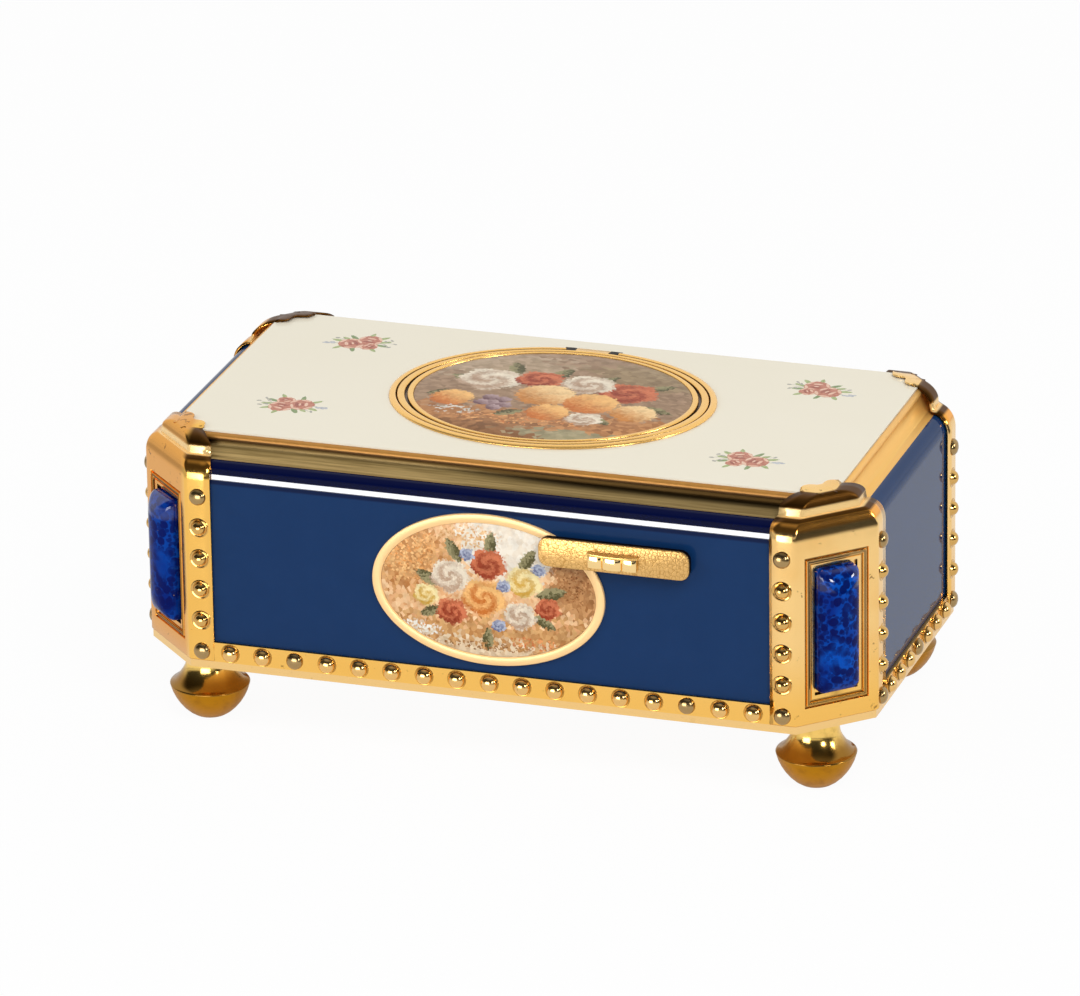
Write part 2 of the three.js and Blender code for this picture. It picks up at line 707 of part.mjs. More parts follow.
function addStrips() {
  const longHalf = frontRidge(0)[0] - FLANGE_WIDTH - SEAT;
  const shortHalf = -sideRidge(0)[1] - FLANGE_WIDTH - SEAT;
  const long = studdedStrip(longHalf, CASE_DEPTH / 2, LONG_STRIP_STUDS, LONG_STRIP_NAIL);
  const short = studdedStrip(shortHalf, CASE_WIDTH / 2, SHORT_STRIP_STUDS, SHORT_STRIP_NAIL);
  piece('strip_front', long, gilt);
  piece('strip_rear', long.clone().rotateZ(Math.PI), gilt);
  piece('strip_right', short.clone().rotateZ(Math.PI / 2), gilt);
  piece('strip_left', short.clone().rotateZ(-Math.PI / 2), gilt);
}

// Coved frame that closes the walls, with a bead round the top plate and a ledge under it
function addCoveFrame() {
  const start = Z_NOTCH - SHEET - 3 * SEAT;
  const beadOuter = TOP_INSET - BEAD_WIDTH;
  const beadHalf = BEAD_WIDTH / 2;
  const beadTop = Z_TOP - BEAD_DROP;
  const beadFoot = beadTop - BEAD_HEIGHT;
  const coveRun = beadOuter + SEAT - LOWER_LOBE_RUN;
  const cove = Array.from({ length: CURVE_STEPS + 1 }, (_, i) => {
    const angle = (i / CURVE_STEPS) * Math.PI / 2;
    const d = LOWER_LOBE_RUN + SEAT + coveRun * Math.sin(angle);
    return [d, start + (beadFoot - start) * (1 - Math.cos(angle))];
  });
  const ledge = Z_TOP - TOP_THICKNESS - SEAT;
  const profile = [
    ...cove,
    ...lobe(TOP_INSET - SEAT - beadHalf, beadFoot + BEAD_HEIGHT / 2, beadHalf, BEAD_HEIGHT / 2, 2),
    [TOP_INSET - SEAT, beadTop],
    [TOP_INSET - SEAT, ledge],
    [TOP_INSET + FRAME_LEDGE, ledge],
    [TOP_INSET + FRAME_LEDGE, ledge - PANEL_THICKNESS],
    [LOWER_LOBE_RUN + SEAT, start - PANEL_THICKNESS],
  ];
  const outlines = profile.map(([d, z]) =>
    caseOutline(d).map((point) => new THREE.Vector3(point.x, point.y, z)));
  const sections = outlines[0].map((_, corner) => outlines.map((outline) => outline[corner]));
  piece('cove_frame', loft(sections, true), brushedBrass);
}

// Ovals of the lid, outward from the picture; its rims are wider at the two ends
const LID_RIMS = INNER_RIM + RIM_GROOVE + OUTER_RIM;
const LID_HALF_X = PICTURE_HALF_WIDTH + LID_RIMS * (1 + RIM_SWELL);
const LID_HALF_Y = PICTURE_HALF_DEPTH + LID_RIMS;
const HINGE_Y = LID_CENTRE_Y + LID_HALF_Y + LID_GAP + BEZEL_WIDTH / 2;
const HINGE_Z = Z_TOP + HINGE_RISE;
const NOTCH_HALF = KNUCKLE_LENGTH / 2 + KNUCKLE_NOTCH;
const KNUCKLE_SWEEP = KNUCKLE_RADIUS + SHAFT_PLAY;

function hingeRoom(halfLength) {
  const [front, rear] = [HINGE_Y - LID_GAP - BEZEL_WIDTH, HINGE_Y + KNUCKLE_SWEEP];
  return box(-halfLength, halfLength, front, rear, HINGE_Z - LID_THICKNESS, HINGE_Z + LID_THICKNESS);
}

function addTop() {
  const outline = new THREE.Shape(caseOutline(TOP_INSET));
  outline.holes.push(ovalPath(LID_HALF_X, LID_HALF_Y, LID_GAP + WELL_WALL + SEAT, LID_CENTRE_Y));
  const plate = prism(outline, Z_TOP - TOP_THICKNESS, Z_TOP);
  piece('top_plate', cut(plate, hingeRoom(NOTCH_HALF + HINGE_LUG + SEAT)), creamEnamel);
  addBezel();
  addGrille();
}

// Bezel ring, drawn down as the wall of the well, with a ledge for the grille and two hinge lugs
function addBezel() {
  const lip = BEZEL_HEIGHT / 3;
  const outer = LID_GAP + BEZEL_WIDTH;
  const profile = [
    [LID_GAP, Z_LID],
    [outer - lip, Z_LID],
    [outer, Z_LID - lip],
    [outer, Z_TOP + SEAT],
    [LID_GAP + WELL_WALL, Z_TOP + SEAT],
    [LID_GAP + WELL_WALL, Z_GRILLE - WELL_WALL],
    [LID_GAP - WELL_LEDGE, Z_GRILLE - WELL_WALL],
    [LID_GAP - WELL_LEDGE, Z_GRILLE - SEAT],
    [LID_GAP, Z_GRILLE - SEAT],
  ];
  const ring = ovalRing(LID_HALF_X, LID_HALF_Y, profile).translate(0, LID_CENTRE_Y, 0);
  const lugEnd = NOTCH_HALF + HINGE_LUG;
  const lugs = [-1, 1].map((side) => {
    const [a, b] = [side * NOTCH_HALF, side * lugEnd];
    return crossRod(KNUCKLE_RADIUS, Math.min(a, b), Math.max(a, b), HINGE_Y, HINGE_Z);
  });
  const bore = crossRod(HINGE_PIN_RADIUS + SEAT, -lugEnd - 1, lugEnd + 1, HINGE_Y, HINGE_Z);
  const open = cut(ring, hingeRoom(NOTCH_HALF));
  piece('lid_bezel', cut(join(open, ...lugs), bore), gilt);
  piece('lid_hinge_pin', crossRod(HINGE_PIN_RADIUS, -lugEnd, lugEnd, HINGE_Y, HINGE_Z), steel);
}

const GRILLE_TOP = Z_GRILLE + GRILLE_THICKNESS;

// Pierced floor of the well: two rings of leaf-shaped openings and a hole for the turntable's post
function addGrille() {
  const shape = new THREE.Shape(ovalPath(LID_HALF_X, LID_HALF_Y, LID_GAP - SEAT * 2).getPoints());
  for (const { count, offset, length, width } of GRILLE_RINGS) {
    for (let i = 0; i < count; i++) {
      const angle = ((i + 0.5) / count) * 2 * Math.PI;
      const middle = ovalPoint(LID_HALF_X, LID_HALF_Y, offset, angle, 0);
      const out = ovalPoint(LID_HALF_X, LID_HALF_Y, offset + 1, angle, 0).sub(middle);
      const clear = Math.hypot(middle.x, middle.y + LID_CENTRE_Y - BIRD_PIVOT_Y);
      if (clear > TURNTABLE_RADIUS + length / 2) shape.holes.push(leaf(middle, out, length, width));
    }
  }
  shape.holes.push(circle(TURNTABLE_POST + SHAFT_PLAY, 0, BIRD_PIVOT_Y - LID_CENTRE_Y));
  piece('grille', prism(shape, Z_GRILLE, GRILLE_TOP).translate(0, LID_CENTRE_Y, 0), gilt);
}

// Pointed leaf along the given direction, wider toward its outer end
function leaf(middle, along, length, width) {
  const across = new THREE.Vector2(-along.y, along.x);
  const stations = [[-0.5, 0], [-0.1, -0.35], [0.25, -0.5], [0.5, 0], [0.25, 0.5], [-0.1, 0.35]];
  return new THREE.Path(stations.map(([u, v]) => new THREE.Vector2(
    middle.x + along.x * u * length + across.x * v * width,
    middle.y + along.y * u * length + across.y * v * width,
  )));
}

// Row of the lid, inward from its outer edge
function lidRow(inset, z) {
  return ovalAngles().map((angle) => {
    const offset = -inset * (1 + RIM_SWELL * Math.cos(angle) ** 2);
    return ovalPoint(LID_HALF_X, LID_HALF_Y, offset, angle, z);
  });
}

function addLid() {
  const bottom = Z_LID - LID_THICKNESS;
  const edge = BEZEL_HEIGHT / 3;
  const bed = Z_LID - PICTURE_THICKNESS;
  const groove = OUTER_RIM + RIM_GROOVE;
  const rows = [
    [edge, bottom],
    [0, bottom + edge],
    [0, Z_LID - edge],
    [edge, Z_LID],
    [OUTER_RIM, Z_LID],
    [OUTER_RIM, Z_LID - RIM_GROOVE_DEPTH],
    [groove, Z_LID - RIM_GROOVE_DEPTH],
    [groove, Z_LID],
    [LID_RIMS, Z_LID],
    [LID_RIMS, bed],
  ];
  const disc = loft(rows.map(([inset, z]) => lidRow(inset, z))).translate(0, LID_CENTRE_Y, 0);
  const knuckle = crossRod(KNUCKLE_RADIUS, -KNUCKLE_LENGTH / 2, KNUCKLE_LENGTH / 2, HINGE_Y, HINGE_Z);
  const lidRear = LID_CENTRE_Y + LID_HALF_Y;
  const half = KNUCKLE_LENGTH / 2;
  const tongue = box(-half, half, lidRear - OUTER_RIM / 2, HINGE_Y, Z_TOP - KNUCKLE_RADIUS / 2, Z_LID);
  const bore = crossRod(HINGE_PIN_RADIUS + SHAFT_PLAY / 2, -half - 1, half + 1, HINGE_Y, HINGE_Z);
  piece('lid_frame', cut(join(disc, knuckle, tongue), bore), gilt);
  const domeRow = ([offset, share]) => ovalAngles().map((angle) => {
    const z = bed + PICTURE_THICKNESS + PICTURE_DOME * (share - 0.5);
    return ovalPoint(PICTURE_HALF_WIDTH, PICTURE_HALF_DEPTH, offset, angle, z);
  });
  const picture = loft([
    lidRow(LID_RIMS + SEAT, bed + SEAT),
    lidRow(LID_RIMS + SEAT, bed + PICTURE_THICKNESS - PICTURE_DOME * 0.1),
    ...[[-3, 0.78], [-9, 1]].map(domeRow),
  ]);
  piece('lid_picture', picture.translate(0, LID_CENTRE_Y, 0), pictureEnamel);
}

// Stand an oval piece drawn flat on the front wall, its back on the panel.
function ontoFront(geometry) {
  const y = -CASE_DEPTH / 2 + PANEL_INSET - SEAT;
  return geometry.rotateX(Math.PI / 2).translate(0, y, Z_CASE + PLAQUE_RISE);
}

function addPlaque() {
  const edge = PLAQUE_RIM / 4;
  const rim = [
    [0, 0],
    [0, PLAQUE_RIM_HEIGHT - edge / 2],
    [-edge, PLAQUE_RIM_HEIGHT],
    [-PLAQUE_RIM, PLAQUE_RIM_HEIGHT],
    [-PLAQUE_RIM, 0],
  ];
  piece('plaque_rim', ontoFront(ovalRing(PLAQUE_HALF_WIDTH, PLAQUE_HALF_HEIGHT, rim)), gilt);
  const inner = -PLAQUE_RIM - SEAT;
  const picture = ovalDisc(PLAQUE_HALF_WIDTH, PLAQUE_HALF_HEIGHT, [[inner, 0], [inner, PLAQUE_THICKNESS]]);
  piece('plaque_picture', ontoFront(picture), pictureEnamel);
}

// Slide: a plate with a three-lobed grip outside, a stem through the wall, a bar with a drive tail inside
const SLIDE_BACK = -CASE_DEPTH / 2 + PANEL_INSET - PLAQUE_RIM_HEIGHT - SEAT - SLIDE_GAP;
const SLIDE_BAR_Y = -CASE_DEPTH / 2 + INNER_INSET + SHAFT_PLAY;
const STOP_LEVER_Z = Z_CASE + PLATE_STANDOFF + PLATE_SPACE - LEVER_THICKNESS;
const DRIVE_TAIL_Z = STOP_LEVER_Z - LEVER_THICKNESS / 2;

function addSlide() {
  const z = Z_CASE + SLIDE_RISE;
  const plate = uprightPlate(SLIDE_LENGTH, SLIDE_HEIGHT, SLIDE_CORNER, -SLIDE_THICKNESS, 0);
  const lobes = [-1, 0, 1].map((place) => {
    const size = place === 0 ? 1 : 0.85;
    const dome = turned([[0, -0.4], [1, -0.4], [1, 0], [0.75, 0.66], [0, 1]], SMALL_SIDES);
    dome.rotateX(Math.PI / 2);
    dome.scale(GRIP_LENGTH / 4, GRIP_REACH * size, (SLIDE_HEIGHT / 2) * GRIP_SHARE * size);
    return dome.translate(place * GRIP_LENGTH / 4, -SLIDE_THICKNESS, 0);
  });
  const [halfStem, halfHeight] = [SLIDE_STEM / 2, SLIDE_STEM_HEIGHT / 2];
  const stemEnd = SLIDE_BAR_Y - SLIDE_BACK;
  const stem = box(-halfStem, halfStem, -SLIDE_THICKNESS / 2, stemEnd, -halfHeight, halfHeight);
  const button = join(plate, ...lobes, stem).translate(SLIDE_X, SLIDE_BACK, z);
  piece('slide_plate', button, gilt);
  const barBack = SLIDE_BAR_Y + SEAT + SLIDE_BAR;
  const barHalf = SLIDE_HEIGHT / 2;
  const [barLeft, barRight] = [SLIDE_X - SLIDE_STEM, SLIDE_X + SLIDE_STEM];
  const bar = box(barLeft, barRight, SLIDE_BAR_Y + SEAT, barBack, z - barHalf, z + barHalf);
  const tailHalf = SLIDE_BAR / 2;
  const tail = box(SLIDE_X - tailHalf, SLIDE_X + tailHalf, SLIDE_BAR_Y + SEAT, barBack, DRIVE_TAIL_Z, z);
  piece('slide_bar', join(bar, tail), brass);
}

// Bird, drawn with its pivot at the origin and its beak toward -Y
const BIRD_PIVOT_Z = GRILLE_TOP + BIRD_PIVOT_RISE;

function atBird(geometry) {
  return geometry.translate(0, BIRD_PIVOT_Y, BIRD_PIVOT_Z);
}

function birdBody() {
  const section = ([ahead, rise, halfWidth, halfHeight]) => Array.from({ length: BIRD_SIDES }, (_, i) => {
    const angle = (i / BIRD_SIDES) * 2 * Math.PI;
    const z = BIRD_LIFT + rise + halfHeight * Math.sin(angle);
    return new THREE.Vector3(halfWidth * Math.cos(angle), -ahead, z);
  });
  return loft(BIRD_STATIONS.map(section));
}

// Folded wing: a pointed blade that hangs from its top edge beside the body
function birdWing(side) {
  const shape = new THREE.Shape();
  shape.moveTo(0, 0);
  shape.quadraticCurveTo(-WING_LENGTH * 0.1, -WING_DEPTH, WING_LENGTH * 0.3, -WING_DEPTH);
  shape.quadraticCurveTo(WING_LENGTH * 0.7, -WING_DEPTH * 0.9, WING_LENGTH, -WING_DEPTH * 0.25);
  shape.quadraticCurveTo(WING_LENGTH * 0.6, 0, 0, 0);
  const blade = prism(shape, -WING_THICKNESS / 2, WING_THICKNESS / 2, 3);
  blade.rotateX(Math.PI / 2).rotateZ(Math.PI / 2);
  return blade.translate(side * WING_OFFSET, -WING_AHEAD, BIRD_LIFT + WING_DEPTH / 2);
}

function birdTail() {
  const shape = new THREE.Shape();
  shape.moveTo(-TAIL_ROOT_HALF, 0).lineTo(TAIL_ROOT_HALF, 0).lineTo(TAIL_END_HALF, -TAIL_LENGTH * 0.9);
  shape.quadraticCurveTo(0, -TAIL_LENGTH * 1.1, -TAIL_END_HALF, -TAIL_LENGTH * 0.9);
  const fan = prism(shape, -TAIL_THICKNESS / 2, TAIL_THICKNESS / 2);
  return fan.rotateZ(Math.PI).translate(0, -TAIL_AHEAD, BIRD_LIFT + TAIL_RISE);
}

// Lower half of the beak, under the upper one
function lowerBeak() {
  const section = ([ahead, halfWidth, top, bottom]) => [
    [-halfWidth, top], [halfWidth, top], [halfWidth * 0.5, bottom], [-halfWidth * 0.5, bottom],
  ].map(([x, z]) => new THREE.Vector3(x, -ahead, BIRD_LIFT + z));
  return loft(LOWER_BEAK_STATIONS.map(section));
}

function addBird() {
  const disc = rod(TURNTABLE_RADIUS, 0, 0, 0, TURNTABLE_THICKNESS, ROUND_SIDES);
  disc.translate(0, 0, SEAT * 2 - BIRD_PIVOT_RISE);
  const postFoot = -BIRD_PIVOT_RISE - GRILLE_THICKNESS - TURNTABLE_STEM;
  const post = rod(TURNTABLE_POST, 0, 0, postFoot, SEAT * 2 - BIRD_PIVOT_RISE + SHEET);
  const earInner = ARM_WIDTH / 2 + SHAFT_PLAY;
  const earFoot = SEAT * 2 - BIRD_PIVOT_RISE + TURNTABLE_THICKNESS / 2;
  const ears = [-1, 1].map((side) => {
    const [a, b] = [side * earInner, side * (earInner + EAR_THICKNESS)];
    return box(Math.min(a, b), Math.max(a, b), -EAR_REACH, EAR_REACH, earFoot, EAR_REACH);
  });
  const pin = crossRod(BIRD_PIN, -earInner - EAR_THICKNESS / 2, earInner + EAR_THICKNESS / 2, 0, 0);
  piece('bird_turntable', atBird(join(disc, post, ...ears, pin)), brass);

  const armTop = BIRD_LIFT - BIRD_STATIONS[2][3] - SEAT * 2;
  const eye = crossRod(EAR_REACH, -ARM_WIDTH / 2, ARM_WIDTH / 2, 0, 0);
  const bar = box(-ARM_WIDTH / 2, ARM_WIDTH / 2, -ARM_LENGTH, 0, armTop - ARM_HEIGHT, armTop);
  const bore = crossRod(BIRD_PIN + SHAFT_PLAY, -ARM_WIDTH, ARM_WIDTH, 0, 0);
  piece('bird_arm', atBird(cut(join(eye, bar), bore)), brass);
  piece('bird_body', atBird(birdBody()), plumage);
  piece('bird_lower_beak', atBird(lowerBeak()), boxwood);
  piece('bird_wing_right', atBird(birdWing(1)), plumage);
  piece('bird_wing_left', atBird(birdWing(-1)), plumage);
  piece('bird_tail', atBird(birdTail()), breast);
}

// Movement

function pitchRadius(gear) {
  return (gear.teeth * gear.module) / 2;
}
function tipRadius(gear) {
  return pitchRadius(gear) + ADDENDUM * gear.module;
}

// Toothed wheel with slender teeth; one tooth points along the given angle.
function gearWheel(gear, z0, z1, angle) {
  const [root, tip] = [pitchRadius(gear) - DEDENDUM * gear.module, tipRadius(gear)];
  const step = (2 * Math.PI) / gear.teeth;
  const points = [];
  for (let i = 0; i < gear.teeth; i++) {
    for (const [radius, share] of [[root, -0.22], [tip, -0.09], [tip, 0.09], [root, 0.22]]) {
      const t = angle + (i + share) * step;
      points.push(new THREE.Vector2(radius * Math.cos(t), radius * Math.sin(t)));
    }
  }
  return prism(new THREE.Shape(points), z0, z1);
}

// Place of an arbor whose pinion meshes with the wheel on the arbor before it
function nextArbor(from, wheel, pinion, degrees) {
  const reach = pitchRadius(wheel) + pitchRadius(pinion);
  const angle = degrees * DEGREES;
  return { x: from.x + reach * Math.cos(angle), y: from.y + reach * Math.sin(angle), reach, angle };
}

const barrelArbor = { x: BARREL_X, y: 0 };
const camArbor = nextArbor(barrelArbor, GREAT_WHEEL, CAM_PINION, CAM_DIRECTION);
const thirdArbor = nextArbor(camArbor, CAM_WHEEL, THIRD_PINION, THIRD_DIRECTION);
const flyArbor = nextArbor(thirdArbor, THIRD_WHEEL, FLY_PINION, FLY_DIRECTION);

const Z_LOWER = Z_CASE + PLATE_STANDOFF;
const Z_TRAIN = Z_LOWER + PLATE_THICKNESS;
const Z_UPPER = Z_TRAIN + PLATE_SPACE;
const Z_WHEEL = Z_TRAIN + SHAFT_PLAY * 2;
const Z_HIGH_WHEEL = Z_UPPER - SHAFT_PLAY * 2 - WHEEL_THICKNESS - SHAFT_PLAY * 2;
const CAM_REACH = CAM_RADIUS + CAM_LIFT;
const DRUM_RADIUS = camArbor.reach - CAM_REACH - DRUM_GAP;
const Z_DRUM = Z_WHEEL + WHEEL_THICKNESS;

// Pinion turned so that a gap faces the wheel that drives it
function pinionOn(arbor, gear, z0, z1) {
  return gearWheel(gear, z0, z1, arbor.angle + Math.PI + Math.PI / gear.teeth).translate(arbor.x, arbor.y, 0);
}

// Arbor with thin pivots that run in both plates
function arborRod(arbor) {
  const pivot = rod(PIVOT_RADIUS, arbor.x, arbor.y, Z_LOWER + SHEET, Z_UPPER + PLATE_THICKNESS - SHEET);
  const shank = rod(ARBOR_RADIUS, arbor.x, arbor.y, Z_TRAIN + SHAFT_PLAY, Z_UPPER - SHAFT_PLAY);
  return join(pivot, shank);
}

function movementPlate(z, holes) {
  const plate = new THREE.Shape();
  plate.moveTo(PLATE_LEFT, -PLATE_HALF_DEPTH).lineTo(PLATE_RIGHT, -PLATE_HALF_DEPTH);
  plate.lineTo(PLATE_RIGHT, PLATE_HALF_DEPTH).lineTo(PLATE_LEFT, PLATE_HALF_DEPTH);
  plate.closePath();
  for (const [radius, x, y] of holes) plate.holes.push(circle(radius, x, y));
  return prism(plate, z, z + PLATE_THICKNESS, SMALL_SIDES / 2);
}

const PILLARS = [PLATE_LEFT + PILLAR_INSET, PLATE_RIGHT - PILLAR_INSET].flatMap((x) =>
  [-1, 1].map((side) => [x, side * (PLATE_HALF_DEPTH - PILLAR_INSET)]));

function addPlates() {
  const pivots = [camArbor, thirdArbor, flyArbor].map(({ x, y }) => [PIVOT_RADIUS + SHAFT_PLAY, x, y]);
  const winding = [ARBOR_RADIUS * 2 + SHAFT_PLAY, barrelArbor.x, barrelArbor.y];
  const pillars = PILLARS.map(([x, y]) => rod(PILLAR_RADIUS, x, y, Z_CASE + SEAT, Z_UPPER - SEAT));
  const postTop = PISTON_LEVER_Z + LEVER_THICKNESS + SEAT;
  const post = rod(LEVER_POST, PISTON_LEVER_X, PISTON_LEVER_Y, Z_LOWER, postTop);
  const collar = rod(LEVER_EYE, PISTON_LEVER_X, PISTON_LEVER_Y, Z_LOWER, PISTON_LEVER_Z - SEAT);
  const lower = movementPlate(Z_LOWER, [...pivots, winding]);
  piece('movement_lower_plate', join(lower, ...pillars, post, collar), brass);
  const upper = movementPlate(Z_UPPER, [...pivots, winding]);
  const clickTop = Z_RATCHET + WHEEL_THICKNESS + SEAT;
  const clickPost = rod(LEVER_POST, clickPivot.x, clickPivot.y, Z_UPPER + SHEET, clickTop);
  piece('movement_upper_plate', join(upper, clickPost), brass);
}

// Barrel: great wheel and drum in one, open at the top for the spring, with a cover
function addBarrel() {
  const { x, y } = barrelArbor;
  const arborHole = ARBOR_RADIUS * 2 + SHAFT_PLAY;
  const drumTop = Z_DRUM + DRUM_HEIGHT;
  const wheel = gearWheel(GREAT_WHEEL, Z_WHEEL, Z_DRUM, camArbor.angle).translate(x, y, 0);
  const drum = rod(DRUM_RADIUS, x, y, Z_DRUM - SHEET, drumTop, DRUM_SIDES);
  const hollow = rod(DRUM_RADIUS - DRUM_WALL, x, y, Z_DRUM, drumTop + 1, DRUM_SIDES);
  const bore = rod(arborHole, x, y, Z_WHEEL - 1, Z_DRUM + 1);
  piece('mainspring_barrel', cut(join(wheel, drum), hollow, bore), brass);
  const lid = new THREE.Shape(circle(DRUM_RADIUS).getPoints(DRUM_SIDES / 2));
  lid.holes.push(circle(arborHole));
  piece('barrel_cover', prism(lid, drumTop + SEAT, drumTop + SEAT + DRUM_WALL).translate(x, y, 0), brass);

  const inner = ARBOR_RADIUS * 2 + SHAFT_PLAY + SPRING_STRIP;
  const outer = DRUM_RADIUS - DRUM_WALL - SPRING_STRIP;
  const steps = SPRING_TURNS * SPRING_STEPS;
  const sections = Array.from({ length: steps + 1 }, (_, i) => {
    const share = i / steps;
    const t = share * SPRING_TURNS * 2 * Math.PI;
    const radius = inner + (outer - inner) * share;
    const [z0, z1] = [Z_DRUM + SHAFT_PLAY, drumTop - SHAFT_PLAY];
    return [[-0.5, z0], [0.5, z0], [0.5, z1], [-0.5, z1]].map(([side, z]) => {
      const r = radius + side * SPRING_STRIP;
      return new THREE.Vector3(x + r * Math.cos(t), y + r * Math.sin(t), z);
    });
  });
  piece('mainspring', loft(sections), steel);
}

// Winding arbor: a square for the key at the base, a shaft through the barrel, a ratchet over the upper plate
const Z_RATCHET = Z_UPPER + PLATE_THICKNESS + SHAFT_PLAY;
const clickPivot = { x: BARREL_X + CLICK_LENGTH, y: -RATCHET_RADIUS - CLICK_GAP - LEVER_EYE };

function addWinding() {
  const { x, y } = barrelArbor;
  const half = KEY_SQUARE / 2;
  const square = box(x - half, x + half, y - half, y + half, FOOT_HEIGHT, Z_LOWER);
  const shaft = rod(ARBOR_RADIUS * 2, x, y, Z_CASE + SHEET, Z_RATCHET + WHEEL_THICKNESS);
  const step = (2 * Math.PI) / RATCHET_TEETH;
  const points = Array.from({ length: RATCHET_TEETH }, (_, i) => [
    [RATCHET_RADIUS - RATCHET_TOOTH, i * step],
    [RATCHET_RADIUS, (i + 0.9) * step],
  ]).flat();
  const outline = points.map(([r, t]) => new THREE.Vector2(x + r * Math.cos(t), y + r * Math.sin(t)));
  const ratchet = prism(new THREE.Shape(outline), Z_RATCHET, Z_RATCHET + WHEEL_THICKNESS);
  piece('winding_arbor', join(square, shaft, ratchet), steel);

  // Click: a short lever whose nose stands beside the ratchet's teeth
  const [z0, z1] = [Z_RATCHET, Z_RATCHET + WHEEL_THICKNESS];
  const eye = rod(LEVER_EYE, clickPivot.x, clickPivot.y, z0, z1);
  const noseY = y - RATCHET_RADIUS - CLICK_GAP;
  const tongue = box(x, clickPivot.x, noseY - LEVER_WIDTH, noseY, z0, z1);
  const bore = rod(LEVER_POST + SHAFT_PLAY, clickPivot.x, clickPivot.y, z0 - 1, z1 + 1);
  piece('click', cut(join(eye, tongue), bore), steel);
}

// Song cams: discs with a wavy edge on one hub
function addTrain() {
  const wheelTop = Z_WHEEL + WHEEL_THICKNESS;
  const pinionTop = Z_WHEEL + PINION_LENGTH;
  const highTop = Z_HIGH_WHEEL + WHEEL_THICKNESS;
  const camWheel = gearWheel(CAM_WHEEL, Z_HIGH_WHEEL, highTop, thirdArbor.angle);
  camWheel.translate(camArbor.x, camArbor.y, 0);
  piece('cam_arbor', join(
    arborRod(camArbor),
    pinionOn(camArbor, CAM_PINION, Z_WHEEL - SHAFT_PLAY, pinionTop),
    camWheel,
  ), brass);

  const camFoot = pinionTop + CAM_GAP;
  const pitch = CAM_THICKNESS + CAM_GAP;
  const discs = Array.from({ length: CAM_COUNT }, (_, k) => {
    const points = Array.from({ length: CAM_SIDES }, (_, i) => {
      const t = (i / CAM_SIDES) * 2 * Math.PI;
      const wave = 0.5 * Math.sin((3 + k) * t) + 0.5 * Math.sin((7 - k) * t + k);
      const r = CAM_RADIUS + CAM_LIFT * wave;
      return new THREE.Vector2(r * Math.cos(t), r * Math.sin(t));
    });
    return prism(new THREE.Shape(points), camFoot + k * pitch, camFoot + k * pitch + CAM_THICKNESS);
  });
  const camTop = camFoot + CAM_COUNT * pitch - CAM_GAP;
  const hub = rod(CAM_RADIUS / 2, 0, 0, camFoot, camTop);
  const bore = rod(ARBOR_RADIUS + SEAT, 0, 0, camFoot - 1, camTop + 1);
  piece('song_cams', cut(join(hub, ...discs), bore).translate(camArbor.x, camArbor.y, 0), brass);

  const low = gearWheel(THIRD_WHEEL, Z_WHEEL, wheelTop, flyArbor.angle);
  low.translate(thirdArbor.x, thirdArbor.y, 0);
  const third = pinionOn(thirdArbor, THIRD_PINION, highTop - PINION_LENGTH, highTop + SHAFT_PLAY);
  piece('third_wheel', join(arborRod(thirdArbor), third, low), brass);

  const vaneFoot = pinionTop + CAM_GAP * 2;
  const vane = box(-FLY_RADIUS, FLY_RADIUS, -FLY_VANE / 2, FLY_VANE / 2, vaneFoot, Z_UPPER - SHAFT_PLAY * 2);
  piece('fly', join(
    arborRod(flyArbor),
    pinionOn(flyArbor, FLY_PINION, Z_WHEEL - SHAFT_PLAY, pinionTop),
    vane.translate(flyArbor.x, flyArbor.y, 0),
  ), steel);
}

// Levers: one rides with its edge on the middle cam and draws the piston, the slide swings the other
const PISTON_LEVER_Z = Z_WHEEL + PINION_LENGTH + CAM_GAP + CAM_THICKNESS + CAM_GAP;
const WHISTLE_Z = PISTON_LEVER_Z + LEVER_THICKNESS / 2;

// Flat bar from one point to another
function flatBar(x0, y0, x1, y1, width, z0, z1) {
  const length = Math.hypot(x1 - x0, y1 - y0);
  const bar = box(0, length, -width / 2, width / 2, z0, z1);
  return bar.rotateZ(Math.atan2(y1 - y0, x1 - x0)).translate(x0, y0, 0);
}

const STOP_LEVER_X = SLIDE_X + SLIDE_TRAVEL / 2;

